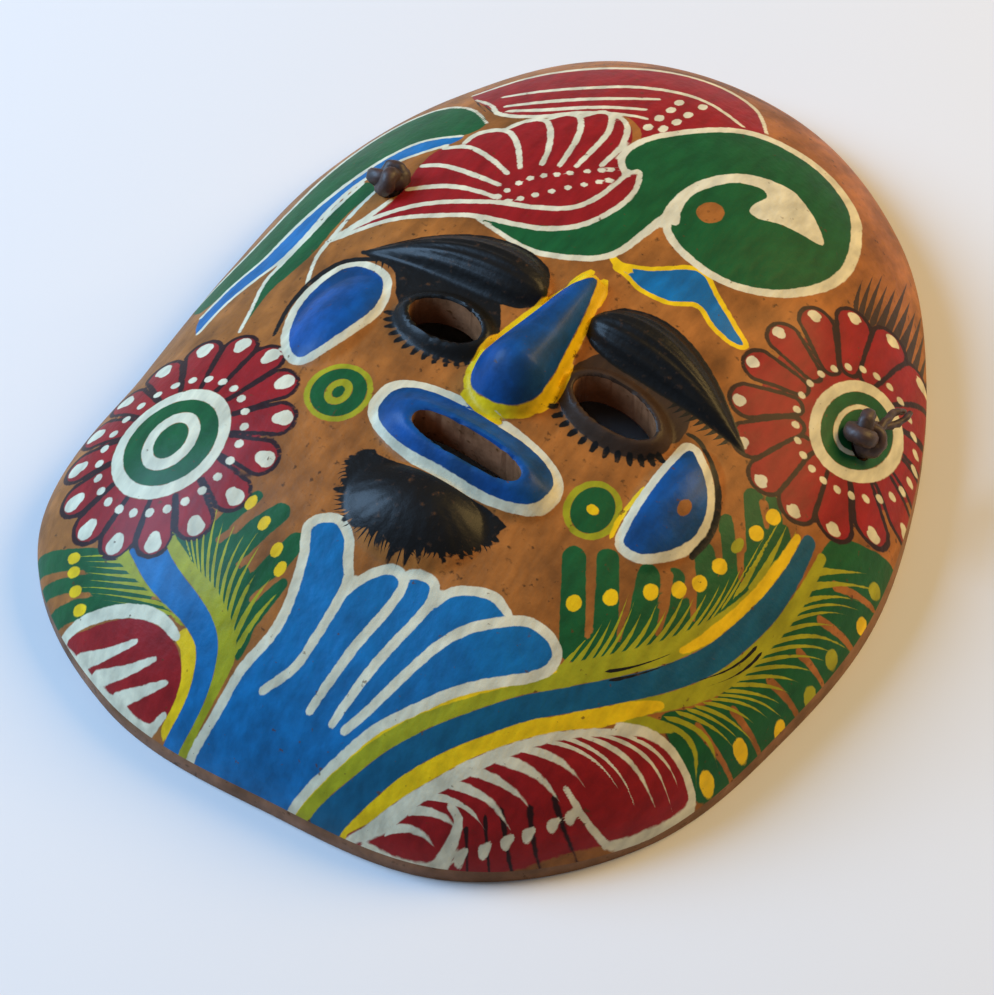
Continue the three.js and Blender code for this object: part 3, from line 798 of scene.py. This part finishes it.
def paint_right_corner(painting, draws):
    """Red wing with a cream edge, curved feather strokes and drops at the lower right."""
    edge = (
        (17.6, -97.6), (21, -94.6), (24.8, -89.6), (29.8, -83), (34.3, -76.8), (40.1, -70), (46.3, -63.6),
        (54, -57), (58.7, -53.9),
    )
    outer = ((63.3, -52.9), (67.8, -53.8), (69.9, -56), (67.7, -62.1), (63.4, -68.9), (60.4, -72.3))
    strokes = (
        ((25.6, -93.4), (29.4, -91.7), (32.6, -91.4)), ((29, -88), (33.6, -86.4), (37, -86)),
        ((32.4, -83.6), (37.8, -82.2), (41.6, -82.4)), ((36, -78.4), (42.4, -77), (46.9, -77.1)),
        ((40.4, -72.4), (45.9, -70.8), (50.3, -70.8)), ((44.9, -67), (51.3, -64.6), (56.9, -64.5)),
        ((47.8, -64), (54.4, -62.4), (60, -62.9)), ((51.6, -60.6), (58.5, -58.2), (64, -58.7)),
        ((55.4, -57.2), (62, -55.2), (67, -56.2)),
    )
    field = painting.area("red", edge + outer + ((50, -84), (42, -90.5), (35, -94.5), (27, -96.8)))
    painting.lift(field, "green", "olive", "yellow")
    painting.area("cream", edge + tuple(stroke[0] for stroke in strokes[::-1]) + ((21.6, -96.4),))
    painting.row("cream", strokes, 12, 0.3, draws)
    painting.stroke("cream", edge[-2:] + outer, 2.0, 1.6, 1.4, 1.2, 0.8)
    painting.stroke("cream", (
        (34, -85.6), (36.4, -86.4), (37, -89.2), (36.2, -93), (33.7, -94.9), (28.2, -96.6), (21.7, -97.2),
    ), 1.2, 2.4, 2.2, 1.6)
    painting.stroke("cream", ((51, -71.2), (54.3, -72), (57.8, -72.4), (60.3, -72)), 1.1, 1.3, 1.1)
    for x, y in ((39.3, -90), (42.8, -86.9), (45.8, -83.7), (48.6, -80.6), (51.7, -76.7), (53.9, -73.6)):
        painting.stroke("cream", ((x - 0.2, y - 0.4), (x + 0.4, y + 1)), 1.9, 0.9)
    painting.row("outline", (
        ((38.2, -86.5), (39.4, -88.2), (40.6, -89.9)), ((40.6, -83.5), (43.4, -87), (45, -88.6)),
        ((42.5, -81), (46.5, -84.8), (48.6, -86)), ((46.9, -77.6), (50, -81), (52.5, -82.4)),
        ((49.8, -73.5), (53.3, -75.8), (57, -77)),
    ), 5, 0.13, draws)


def paint_hair(painting, draws):
    """Black brows with short hairs, dark eye rings with fills down from the brows and lashes, and the
    bristly beard.
    """
    share = np.linspace(0, 1, 15)
    _, low, high = brow_edges(share)
    reach = BROW["inner"] + (BROW["outer"] - BROW["inner"]) * share
    for side in (-1, 1):
        x = side * reach
        painting.area("black", list(zip(x, low - 0.6)) + list(zip(x, high + 0.5))[-2:0:-1])
        hairs = []
        for place in (0.6, 0.7, 0.8, 0.9):
            root = np.array((np.interp(place, share, x), np.interp(place, share, low)))
            hairs.append((root, root - (0.4 * side, 1.4), root - (1.2 * side, 3)))
        painting.row("black", hairs, 9, 0.44, draws)
    painting.area("black", (
        (-45.4, 3.6), (-38.7, 4.6), (-31, 5), (-29.5, -2), (-31.4, -4.6), (-33.3, -2), (-35.8, 0.9),
        (-39.1, 1.9), (-43.3, 2.5),
    ))
    for eye, coat, start, end in zip(EYES, ("black", "umber"), (0.2, 0.16), (0.74, 0.68)):
        middle, ring = np.array((eye["x"], eye["y"])), np.array(eye["ring"])
        painting.oval(coat, middle, ring - 0.1, eye["turn"])
        side = np.sign(eye["x"])
        # Dark fill from the brow's lower edge down over the upper half of the eye ring
        places = np.linspace(start, end, 6)
        x = side * np.interp(places, share, reach)
        ends = (middle + (0.9 * side * ring[0], 0), middle - (0.9 * side * ring[0], 0))
        painting.area(coat, list(zip(x, np.interp(places, share, low) + 0.6)) + list(ends))
        for turn in np.radians(np.arange(196, 350, 11)):
            out = np.array((math.cos(turn), math.sin(turn)))
            root = middle + out * (ring + 0.2)
            painting.stroke("black", (root, root + 1.3 * out), 1.4, 1.0)
    beard = (
        (-14.5, -38.5), (-16.2, -42.5), (-14.8, -48), (-10.5, -51.6), (-3, -52.8), (5, -51.6),
        (10, -48.8), (13.4, -45), (15.4, -41), (14, -38),
    )
    painting.area("black", beard)
    bristles = []
    for root in smooth_line(beard[:-1], spacing=2.0):
        aim = (root - (0, -38)) / np.linalg.norm(root - (0, -38))
        bristles.append((root - 0.8 * aim, root + 0.9 * aim, root + 2.4 * (aim + draws.normal(0, 0.35, 2))))
        for reach in (0.8, 1.4):
            painting.stroke("black", (root, root + reach * (aim + draws.normal(0, 0.7, 2))), 1.6, 0.8)
    painting.row("black", bristles, 62, 0.48, draws)


def paint_face(painting):
    """Blue nose, lips and tear drops with their outlines, a painted shade line beside each drop, and the
    cheek circles.
    """
    pear = painting.area_field((
        (1.4, 17.4), (-1.2, 14), (-4.4, 7.5), (-6.6, -1), (-7.8, -9), (-7.4, -14.4), (-4.6, -17.6),
        (0.8, -18.5), (5, -16.8), (7.4, -13), (7.4, -8), (6.2, -1.5), (4.7, 6.5), (3, 13.5),
    ))
    painting.lift(pear - 1.4, "black")
    painting.lay("yellow", pear - 1.4)
    under_nose = ((-6.4, -18.6), (-1.4, -19.8), (3, -20.6))
    for line in (
        ((-2.6, 13.5), (-1.2, 19.8)), ((4.2, 13.5), (2.2, 19.2)), ((7.6, -2), (9, -8), (8.2, -14)),
        under_nose,
    ):
        painting.stroke("yellow", line, 1.4, 2.6, 1.4)
    painting.lift(pear, "yellow")
    painting.lay("deep", pear)
    lip_middle = (MOUTH["x"] - 1.1, MOUTH["y"] + 1.3)
    lips = painting.oval_field(lip_middle, (20.6, 8.2), MOUTH["turn"], MOUTH_SQUARENESS)
    painting.lay("deep", lips)
    painting.edge("cream", lips, 2.2)
    painting.lift(lips - 1.1, "black")
    painting.lift(painting.stroke_field(under_nose, 1.4, 3.0, 1.4), "cream")
    for outline, painted_shade in (
        ((
            (-40.5, -0.5), (-35.8, -2.6), (-33.2, -9.5), (-35, -18.5), (-39.5, -26.6), (-45, -23),
            (-48.4, -14), (-47.4, -5), (-44.5, -1),
        ), ((-48.8, -22.5), (-50.6, -14.7), (-50.1, -7), (-47, -0.4), (-40.8, 2.3))),
        ((
            (36.4, -4), (39.5, -5.6), (43.6, -9), (46.2, -13.6), (46.8, -19), (44.8, -24.4), (41, -28.6),
            (37.2, -29), (36, -26.8), (35.6, -19), (35.8, -9),
        ), ((34.2, -1.4), (37, -1.2), (42, -4.4), (46.4, -9.4), (48.6, -15.4), (48.2, -22))),
    ):
        field = painting.area("deep", outline)
        painting.edge("cream", field - 0.7, 1.7)
        # Black stroke of painted shade along the outer edge of each raised tear drop
        painting.stroke("black", painted_shade, 0.8, 1.4, 1.2)
    painting.lift(painting.oval_field((42.6, -16), (1.2, 1.9)), "deep")
    painting.stroke("yellow", ((34, -17), (33.4, -24), (34, -29)), 0.8, 1.1, 0.8)
    for middle, rings in (
        ((-28, -30.3), (
            ("olive", (6.8, 6.9)), ("green", (5.6, 5.8)), ("olive", (2.6, 3.2)), ("green", (1.2, 1.6)),
        )),
        ((28.3, -26.4), (("olive", (5.5, 6.3)), ("green", (4.1, 5.1)), ("yellow", (1.3, 1.0)))),
    ):
        for coat, size in rings:
            field = painting.oval_field(middle, size)
            painting.lift(field, "green", "olive")
            painting.lay(coat, field)


def paint_smudges(painting, draws):
    """Thin brown brush strokes on the bare clay near the crown and temple."""
    painting.row("umber", (
        ((42.2, 50.7), (40.4, 55), (38.8, 60)), ((46, 52), (44, 59.3), (41.8, 67)),
        ((50.5, 55), (48.3, 63), (46, 70)), ((58, 49), (55, 57.5), (52, 65)),
        ((65.5, 40), (63, 47.5), (59.6, 56)), ((71, 30), (68.6, 38), (65.4, 46)),
    ), 17, 0.48, draws)
    painting.row("umber", (
        ((-54, 65), (-48, 71), (-42, 76)), ((-37, 81), (-30, 86.5), (-23, 90.5)),
        ((-14, 93), (-5, 94), (4, 93)),
    ), 9, 0.3, draws)
    painting.row("umber", (
        ((-53, 57), (-49, 53), (-44, 50)), ((-49, 58), (-45, 53.5), (-40, 51.5)),
    ), 4, 0.36, draws)


def paint_mask(x, y):
    """The whole ornament over points in plan."""
    painting = Painting(x, y)
    draws = np.random.default_rng(11)
    paint_smudges(painting, draws)
    paint_tail(painting)
    paint_crest(painting)
    paint_wing(painting)
    paint_bird(painting)
    paint_chevron(painting)
    paint_band(painting, draws)
    paint_left_corner(painting, draws)
    paint_flower(painting, np.array((54, 26.6)), (21, 28.5), 146, np.array((57, 26.7)), (
        ("cream", (8.5, 13)), ("green", (6.4, 10.2)), ("cream", (4.0, 7.0)), ("green", (3.1, 5.9)),
    ), 1.5, 0.2)
    paint_flower(painting, np.array((-52.8, -50.3)), (22.8, 26.5), 3, np.array((-53.3, -52.2)), (
        ("cream", (11.6, 13)), ("green", (9.4, 10.2)), ("cream", (5.4, 6.9)), ("green", (3.2, 4.3)),
    ), 1.8, 1.2)
    paint_fan(painting)
    paint_right_corner(painting, draws)
    paint_hair(painting, draws)
    paint_face(painting)
    return painting


def pressed_slab(name, columns, rows, inset, base, height):
    """Closed slab pressed to the rim's outline: height on top, flat underneath at base."""
    bm = bmesh.new()
    bmesh.ops.create_grid(bm, x_segments=columns, y_segments=rows, size=1.0)
    u, v = np.array([vert.co[:2] for vert in bm.verts]).T
    u, v = (1.12 - 0.12 * u**2) * u, (1.12 - 0.12 * v**2) * v
    across, along = u * np.sqrt(1 - v**2 / 2), v * np.sqrt(1 - u**2 / 2)
    radius = rim_radius(across, along, inset)
    x, y = across * radius, along * radius
    for vert, place in zip(bm.verts, np.column_stack((x, y, height(x, y))) * MM):
        vert.co = place
    rim = [edge for edge in bm.edges if edge.is_boundary]
    for part in bmesh.ops.extrude_edge_only(bm, edges=rim)["geom"]:
        if isinstance(part, bmesh.types.BMVert):
            part.co.z = base * MM
    bmesh.ops.edgeloop_fill(bm, edges=[edge for edge in bm.edges if edge.is_boundary])
    bmesh.ops.recalc_face_normals(bm, faces=bm.faces)
    return mesh_object(name, bm)


def mesh_object(name, bm):
    """Object at the origin from a finished bmesh."""
    mesh = bpy.data.meshes.new(name)
    bm.to_mesh(mesh)
    bm.free()
    obj = bpy.data.objects.new(name, mesh)
    bpy.context.scene.collection.objects.link(obj)
    return obj


def hole_cutters(name):
    """Eyes, mouth and thong holes as solids that don't touch each other."""
    bm = bmesh.new()
    for place, squareness in ((EYE_LEFT, 2.0), (EYE_RIGHT, 2.0), (MOUTH, MOUTH_SQUARENESS)):
        ring = bmesh.ops.create_circle(bm, cap_ends=True, segments=72, radius=1.0)["verts"]
        for vert in ring:
            for axis, half in enumerate(place["hole"]):
                reach = abs(vert.co[axis]) ** (2 / squareness) * half * MM
                vert.co[axis] = math.copysign(reach, vert.co[axis])
        turn = Matrix.Rotation(math.radians(place["turn"]), 4, "Z")
        shift = Matrix.Translation(Vector((place["x"], place["y"], WALL)) * MM)
        bmesh.ops.transform(bm, matrix=shift @ turn, verts=ring)
        face = list({face for vert in ring for face in vert.link_faces})
        top = bmesh.ops.extrude_face_region(bm, geom=face)["geom"]
        lifted = [part for part in top if isinstance(part, bmesh.types.BMVert)]
        bmesh.ops.translate(bm, vec=(0, 0, 2 * DOME_HEIGHT * MM), verts=lifted)
    for spot in THONG_HOLES.values():
        place, _, turn = hole_frame(spot)
        bmesh.ops.create_cone(
            bm, cap_ends=True, segments=32, radius1=THONG_HOLE_RADIUS * MM, radius2=THONG_HOLE_RADIUS * MM,
            depth=6 * WALL * MM, matrix=Matrix.Translation(place * MM) @ turn.to_matrix().to_4x4(),
        )
    bmesh.ops.recalc_face_normals(bm, faces=bm.faces)
    return mesh_object(name, bm)


def evaluated_mesh(obj):
    """New mesh of an object with its modifiers or its curve's thickness applied."""
    return bpy.data.meshes.new_from_object(obj.evaluated_get(bpy.context.evaluated_depsgraph_get()))


def cut_away(obj, cutters):
    """Takes the cutters out of the object for good and deletes them."""
    for cutter in cutters:
        modifier = obj.modifiers.new(cutter.name, "BOOLEAN")
        modifier.operation = "DIFFERENCE"
        modifier.solver = "MANIFOLD"
        modifier.object = cutter
    whole = evaluated_mesh(obj)
    solid = obj.data
    obj.modifiers.clear()
    obj.data = whole
    bpy.data.meshes.remove(solid)
    whole.name = obj.name
    for cutter in cutters:
        bpy.data.meshes.remove(cutter.data)


def smooth(mesh, angle):
    """Smooth shading, with edges sharper than the angle, in degrees, left sharp."""
    mesh.shade_smooth()
    mesh.set_sharp_from_angle(angle=math.radians(angle))


def store_coats(mesh):
    """Paints the outside: attributes for the coats, their rows of strokes, and the bare clay elsewhere."""
    places = np.empty(3 * len(mesh.vertices), np.float32)
    mesh.vertices.foreach_get("co", places)
    x, y, z = places.reshape(-1, 3).astype(float).T / MM
    corners = np.empty(len(mesh.loops), np.int32)
    mesh.loops.foreach_get("vertex_index", corners)
    starts = np.empty(len(mesh.polygons), np.int32)
    mesh.polygons.foreach_get("loop_start", starts)
    facing = np.empty(3 * len(mesh.polygons), np.float32)
    mesh.polygons.foreach_get("normal", facing)
    above = z - hollow_height(x, y) > WALL / 3
    outside = (facing[2::3] > 0.1) & np.logical_and.reduceat(above[corners], starts)
    painted = np.repeat(outside, np.diff(np.append(starts, len(corners))))
    painting = paint_mask(x, y)
    values = {"bare": ~painted}
    for coat, field in painting.coats.items():
        values[coat] = np.where(painted, field[corners], FAR)
    for coat in BRUSHED:
        values[coat + "_number"] = painting.numbers[coat][corners]
        values[coat + "_fill"] = np.where(painted, painting.fills[coat][corners], NO_STROKE)
    for name, value in values.items():
        attribute = mesh.attributes.new(name, "FLOAT", "CORNER")
        attribute.data.foreach_set("value", value.astype(np.float32))


def add_node(tree, kind, settings=None, inputs=None):
    """Adds a node, sets its properties, and links or sets its inputs by name or number."""
    node = tree.nodes.new(kind)
    for name, value in (settings or {}).items():
        setattr(node, name, value)
    for key, value in (inputs or {}).items():
        socket = node.inputs[key]
        if isinstance(value, bpy.types.NodeSocket):
            tree.links.new(value, socket)
        else:
            socket.default_value = value
    return node


def new_material(name, colour):
    """Empty material with its principled shader and its object coordinates."""
    material = bpy.data.materials.new(name)
    material.use_nodes = True
    material.diffuse_color = colour
    tree = material.node_tree
    shader = tree.nodes["Principled BSDF"]
    return material, tree, shader, add_node(tree, "ShaderNodeTexCoord").outputs["Object"]


def painted_clay(colours, varnish):
    """Fired clay with brushed paint under satin varnish: deep uneven colours, soft edges, black hair."""
    material, tree, shader, place = new_material("painted_fired_clay", colours.clay)
    mottle = add_node(tree, "ShaderNodeTexNoise", None, {
        "Vector": place, "Scale": 1 / (CLAY_MOTTLE * MM), "Detail": 6.0, "Roughness": 0.6,
    })
    speck = add_node(tree, "ShaderNodeTexNoise", None, {
        "Vector": place, "Scale": 1 / (CLAY_GRIT * MM), "Detail": 4.0,
    })
    streak_place = add_node(tree, "ShaderNodeMapping", None, {
        "Vector": place, "Scale": [1 / (size * MM) for size in BRUSH_MARK],
    })
    streak = add_node(tree, "ShaderNodeTexNoise", None, {
        "Vector": streak_place.outputs[0], "Scale": 1.0, "Detail": 5.0,
    })

    patch = add_node(tree, "ShaderNodeMapRange", None, {
        0: mottle.outputs[0], 1: 0.4, 2: 0.7, 3: 0.0, 4: 0.7,
    })
    dark = add_node(tree, "ShaderNodeMapRange", None, {
        0: speck.outputs[0], 1: 0.6, 2: 0.72, 3: 0.0, 4: 0.8,
    })
    both = add_node(tree, "ShaderNodeMath", {"operation": "MAXIMUM"}, {
        0: patch.outputs[0], 1: dark.outputs[0],
    })
    bare = add_node(tree, "ShaderNodeAttribute", {"attribute_name": "bare"}).outputs["Fac"]
    fired = add_node(tree, "ShaderNodeMix", {"data_type": "RGBA"}, {
        0: bare, 6: colours.clay, 7: colours.raw_clay,
    })
    colour = add_node(tree, "ShaderNodeMix", {"data_type": "RGBA"}, {
        0: both.outputs[0], 6: fired.outputs[2], 7: colours.clay_dark,
    }).outputs[2]

    ragged = add_node(tree, "ShaderNodeMath", {"operation": "MULTIPLY_ADD"}, {
        0: speck.outputs[0], 1: 0.5, 2: -0.25,
    })
    blot = add_node(tree, "ShaderNodeMapRange", None, {
        0: mottle.outputs[0], 1: 0.4, 2: 0.62, 3: 0.0, 4: 0.75,
    })
    faint_blot = add_node(tree, "ShaderNodeMath", {"operation": "MULTIPLY"}, {0: blot.outputs[0], 1: 0.4})
    blotted = add_node(tree, "ShaderNodeMix", {"data_type": "RGBA"}, {
        0: faint_blot.outputs[0], 6: colours.blue, 7: colours.blue_dark,
    })
    blotted_deep = add_node(tree, "ShaderNodeMix", {"data_type": "RGBA"}, {
        0: blot.outputs[0], 6: colours.deep, 7: colours.blue_dark,
    })
    worn_black = add_node(tree, "ShaderNodeMix", {"data_type": "RGBA"}, {
        0: dark.outputs[0], 6: colours.black, 7: colours.umber,
    })
    paints = {coat: getattr(colours, coat) for coat in COATS}
    paints["blue"] = blotted.outputs[2]
    paints["deep"] = blotted_deep.outputs[2]
    paints["black"] = worn_black.outputs[2]
    for coat, paint in paints.items():
        field = add_node(tree, "ShaderNodeAttribute", {"attribute_name": coat}).outputs["Fac"]
        if coat in BRUSHED:
            number, fill = (
                add_node(tree, "ShaderNodeAttribute", {"attribute_name": coat + end}).outputs["Fac"]
                for end in ("_number", "_fill")
            )
            away = add_node(tree, "ShaderNodeMath", {"operation": "PINGPONG"}, {
                0: number, 1: 0.5,
            }).outputs[0]
            past = add_node(tree, "ShaderNodeMath", {"operation": "SUBTRACT"}, {
                0: away, 1: fill,
            }).outputs[0]
            row = add_node(tree, "ShaderNodeMath", {"operation": "MULTIPLY"}, {
                0: past, 1: STROKE_EDGE,
            }).outputs[0]
            field = add_node(tree, "ShaderNodeMath", {"operation": "MINIMUM"}, {
                0: field, 1: row,
            }).outputs[0]
        edge = add_node(tree, "ShaderNodeMath", {"operation": "ADD"}, {0: field, 1: ragged.outputs[0]})
        inside = add_node(tree, "ShaderNodeMapRange", {"interpolation_type": "SMOOTHSTEP"}, {
            0: edge.outputs[0], 1: 0.14, 2: -0.14, 3: 0.0, 4: 1.0,
        }).outputs[0]
        colour = add_node(tree, "ShaderNodeMix", {"data_type": "RGBA"}, {
            0: inside, 6: colour, 7: paint,
        }).outputs[2]

    chip = add_node(tree, "ShaderNodeMapRange", None, {
        0: speck.outputs[0], 1: 0.69, 2: 0.74, 3: 0.0, 4: 0.7,
    })
    colour = add_node(tree, "ShaderNodeMix", {"data_type": "RGBA"}, {
        0: chip.outputs[0], 6: colour, 7: colours.clay_dark,
    }).outputs[2]
    tone = add_node(tree, "ShaderNodeMapRange", None, {
        0: streak.outputs[0], 1: 0.3, 2: 0.7, 3: 0.74, 4: 1.14,
    })
    brushed = add_node(tree, "ShaderNodeVectorMath", {"operation": "SCALE"}, {
        0: colour, "Scale": tone.outputs[0],
    })
    rough = add_node(tree, "ShaderNodeMapRange", None, {
        0: mottle.outputs[0], 1: 0.3, 2: 0.7, 3: 0.46, 4: 0.6,
    })
    matt = add_node(tree, "ShaderNodeMath", {"operation": "MULTIPLY_ADD"}, {
        0: inside, 1: -0.06, 2: rough.outputs[0],
    })
    sheen = add_node(tree, "ShaderNodeMath", {"operation": "MULTIPLY_ADD"}, {
        0: inside, 1: 0.4 * varnish, 2: varnish,
    })
    grain = add_node(tree, "ShaderNodeMath", {"operation": "ADD"}, {
        0: speck.outputs[0], 1: streak.outputs[0],
    })
    bump = add_node(tree, "ShaderNodeBump", None, {
        "Strength": 0.4, "Distance": 0.0003, "Height": grain.outputs[0],
    })
    tree.links.new(brushed.outputs[0], shader.inputs["Base Color"])
    tree.links.new(matt.outputs[0], shader.inputs["Roughness"])
    tree.links.new(sheen.outputs[0], shader.inputs["Coat Weight"])
    tree.links.new(bump.outputs[0], shader.inputs["Normal"])
    shader.inputs["Coat Roughness"].default_value = 0.2
    shader.inputs["Specular IOR Level"].default_value = 0.16
    return material


def old_leather(colours):
    """Dry dark hide: brown-black with paler rubbed patches and fine creases."""
    material, tree, shader, place = new_material("old_hide", colours.leather)
    rub = add_node(tree, "ShaderNodeTexNoise", None, {
        "Vector": place, "Scale": 1 / (HIDE_RUB * MM), "Detail": 5.0,
    })
    tone = add_node(tree, "ShaderNodeMapRange", None, {
        0: rub.outputs[0], 1: 0.3, 2: 0.75, 3: 0.55, 4: 1.7,
    })
    colour = add_node(tree, "ShaderNodeVectorMath", {"operation": "SCALE"}, {
        0: colours.leather[:3], "Scale": tone.outputs[0],
    })
    bump = add_node(tree, "ShaderNodeBump", None, {
        "Strength": 0.6, "Distance": 0.0004, "Height": rub.outputs[0],
    })
    tree.links.new(colour.outputs[0], shader.inputs["Base Color"])
    tree.links.new(bump.outputs[0], shader.inputs["Normal"])
    shader.inputs["Roughness"].default_value = 0.5
    return material


def pale_table(colours):
    """Smooth matt white board: an even pale ground for the soft shadow."""
    material, _, shader, _ = new_material("pale_table", colours.table)
    shader.inputs["Base Color"].default_value = colours.table
    shader.inputs["Roughness"].default_value = 0.6
    return material


def tube(name, lines, diameter):
    """Curve object whose round strands follow lines of (x, y, z, thickness) points in millimetres."""
    curve = bpy.data.curves.new(name, "CURVE")
    curve.dimensions = "3D"
    curve.bevel_depth = diameter / 2
    curve.bevel_resolution = 4
    curve.use_fill_caps = True
    for line, closed in lines:
        spline = curve.splines.new("POLY")
        spline.points.add(len(line) - 1)
        spline.use_cyclic_u = closed
        spline.use_smooth = True
        for point, (x, y, z, thickness) in zip(spline.points, line):
            point.co = (x * MM, y * MM, z * MM, 1)
            point.radius = thickness
    obj = bpy.data.objects.new(name, curve)
    bpy.context.scene.collection.objects.link(obj)
    return obj


def knot(name, spot, spin, size, tail_end=None):
    """Tight lump of folded hide on the face over a thong hole, with a twisted tail where one is given."""
    place, outward, turn = hole_frame(spot)
    middle = place + outward * KNOT_LIFT
    turn = turn @ Quaternion((0, 0, 1), spin)
    loop = []
    for t in np.linspace(0, 2 * np.pi, KNOT_STEPS, endpoint=False):
        across = 1.15 * (math.sin(t) + 2 * math.sin(2 * t))
        fold = Vector((across, math.cos(t) - 2 * math.cos(2 * t), -1.35 * math.sin(3 * t)))
        loop.append((*(middle + turn @ (fold * size)), 1.25 + 0.2 * math.sin(2 * t + 1)))
    lines = [(loop, True)]
    if tail_end:
        run = Vector(tail_end) - middle
        side_way = run.cross(outward).normalized()
        for phase in (0, math.pi):
            strand = []
            for part in np.linspace(0, 1, TAIL_STEPS).tolist():
                twist = TAIL_TWIST * part + phase
                away = (0.75 + 0.5 * part) * (side_way * math.cos(twist) + outward * 0.5 * math.sin(twist))
                strand.append((*(middle + run * part + away), 0.85 - 0.4 * part))
            lines.append((strand, False))
    obj = tube(name, lines, bpy.context.scene.mask_sizes.thong)
    mesh = evaluated_mesh(obj)
    curve = obj.data
    bpy.data.objects.remove(obj)
    bpy.data.curves.remove(curve)
    bm = bmesh.new()
    bm.from_mesh(mesh)
    bpy.data.meshes.remove(mesh)
    bmesh.ops.remove_doubles(bm, verts=bm.verts, dist=1e-6)
    bm.normal_update()
    for vert in bm.verts:
        vert.co += vert.normal * KNOT_CREASE * MM * noise.noise(vert.co * KNOT_CREASES_PER_MM / MM)
    finished = mesh_object(name, bm)
    smooth(finished.data, 60)
    return finished


class MASK_OT_stage(bpy.types.Operator):
    """Pale table, two soft lights and the camera"""

    bl_idname = "mask.stage"
    bl_label = "Stage"

    def execute(self, context):
        scene = context.scene
        scene.view_settings.view_transform = "Standard"
        bm = bmesh.new()
        bmesh.ops.create_grid(bm, x_segments=1, y_segments=1, size=TABLE_HALF)
        bmesh.ops.translate(bm, vec=(0, 0, -TABLE_GAP), verts=bm.verts)
        table = mesh_object("table", bm)
        table.data.materials.append(pale_table(scene.mask_colours))

        for name, spot, size, power, colour in LIGHTS:
            data = bpy.data.lights.new(name, "AREA")
            data.size, data.energy, data.color = size, power, linear(colour)[:3]
            light = bpy.data.objects.new(name, data)
            light.location = spot
            light.rotation_euler = (-Vector(spot)).to_track_quat("-Z", "Y").to_euler()
            scene.collection.objects.link(light)
        world = bpy.data.worlds.new("soft_room")
        world.use_nodes = True
        background = world.node_tree.nodes["Background"]
        background.inputs["Color"].default_value = linear(ROOM_COLOUR)
        background.inputs["Strength"].default_value = ROOM_STRENGTH
        scene.world = world

        azimuth, elevation = math.radians(VIEW_AZIMUTH), math.radians(VIEW_ELEVATION)
        right = Vector((math.cos(azimuth), math.sin(azimuth), 0))
        level = Vector((math.sin(azimuth), -math.cos(azimuth), 0))
        back = level * math.cos(elevation) + Vector((0, 0, math.sin(elevation)))
        per_pixel = VIEW_DISTANCE / VIEW_FOCUS_PIXELS
        aim = VIEW_TARGET - right * (VIEW_TARGET_PIXEL[0] - VIEW_PIXELS[0] / 2) * per_pixel
        aim -= back.cross(right) * (VIEW_PIXELS[1] / 2 - VIEW_TARGET_PIXEL[1]) * per_pixel
        spot = VIEW_TARGET + back * VIEW_DISTANCE
        data = bpy.data.cameras.new("photograph_view")
        data.sensor_width = SENSOR_MM
        data.lens = VIEW_FOCUS_PIXELS * SENSOR_MM / max(VIEW_PIXELS)
        camera = bpy.data.objects.new("photograph_view", data)
        camera.location = spot * MM
        camera.rotation_euler = (aim - spot).to_track_quat("-Z", "Y").to_euler()
        scene.collection.objects.link(camera)
        scene.camera = camera
        return {"FINISHED"}


class MASK_OT_thong(bpy.types.Operator):
    """Leather thong inside the mask and its knots on the face"""

    bl_idname = "mask.thong"
    bl_label = "Thong and knots"

    def execute(self, context):
        scene = context.scene
        leather = old_leather(scene.mask_colours)
        route = smooth_line(THONG_ROUTE, spacing=1.0)
        thong = tube("thong_strip", [([(*point, 1.0) for point in route], False)], scene.mask_sizes.thong)
        knots = [
            knot("knot_left_folds", THONG_HOLES["left"], 0.5, 0.9),
            knot("knot_right_folds", np.add(THONG_HOLES["right"], KNOT_SLUMP), -0.6, 1.05, KNOT_TAIL_END),
        ]
        for obj, node in ((thong, "thong"), (knots[0], "knot_left"), (knots[1], "knot_right")):
            obj.data.materials.append(leather)
            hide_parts(node)
            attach(obj, BODY)
        return {"FINISHED"}


class MASK_OT_clay(bpy.types.Operator):
    """Hollow clay mask with its modelled face and painted ornament"""

    bl_idname = "mask.clay"
    bl_label = "Painted clay"

    def execute(self, context):
        sizes = context.scene.mask_sizes
        waves = sizes.waves / MM
        mask = pressed_slab(
            "mask_shell", sizes.columns, sizes.rows, 0.0, 0.0,
            lambda x, y: pressed_height(x, y, waves),
        )
        hollow = pressed_slab("hollow", 40, 52, RIM_WIDTH, -1.0, hollow_height)
        cut_away(mask, [hollow, hole_cutters("holes")])
        smooth(mask.data, 50)
        store_coats(mask.data)
        mask.data.materials.clear()
        mask.data.materials.append(painted_clay(context.scene.mask_colours, sizes.varnish))
        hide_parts("mask")
        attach(mask, BODY)
        return {"FINISHED"}


class MASK_PT_panel(bpy.types.Panel):
    """Sizes, colours and steps of the mask"""

    bl_idname = "MASK_PT_panel"
    bl_label = "Painted Mask"
    bl_space_type = "VIEW_3D"
    bl_region_type = "UI"
    bl_category = "Mask"

    def draw(self, context):
        for group in (context.scene.mask_sizes, context.scene.mask_colours):
            for name in group.__annotations__:
                self.layout.prop(group, name)
        for operator in OPERATORS:
            self.layout.operator(operator.bl_idname)


OPERATORS = (MASK_OT_stage, MASK_OT_thong, MASK_OT_clay)
CLASSES = (MaskSizes, MaskColours, *OPERATORS, MASK_PT_panel)


def register():
    for cls in CLASSES:
        bpy.utils.register_class(cls)
    bpy.types.Scene.mask_sizes = PointerProperty(type=MaskSizes)
    bpy.types.Scene.mask_colours = PointerProperty(type=MaskColours)


def unregister():
    del bpy.types.Scene.mask_colours
    del bpy.types.Scene.mask_sizes
    for cls in reversed(CLASSES):
        bpy.utils.unregister_class(cls)


def main():
    register()
    bpy.ops.mask.stage()
    bpy.ops.mask.thong()
    bpy.ops.mask.clay()


if __name__ == "__main__":
    main()
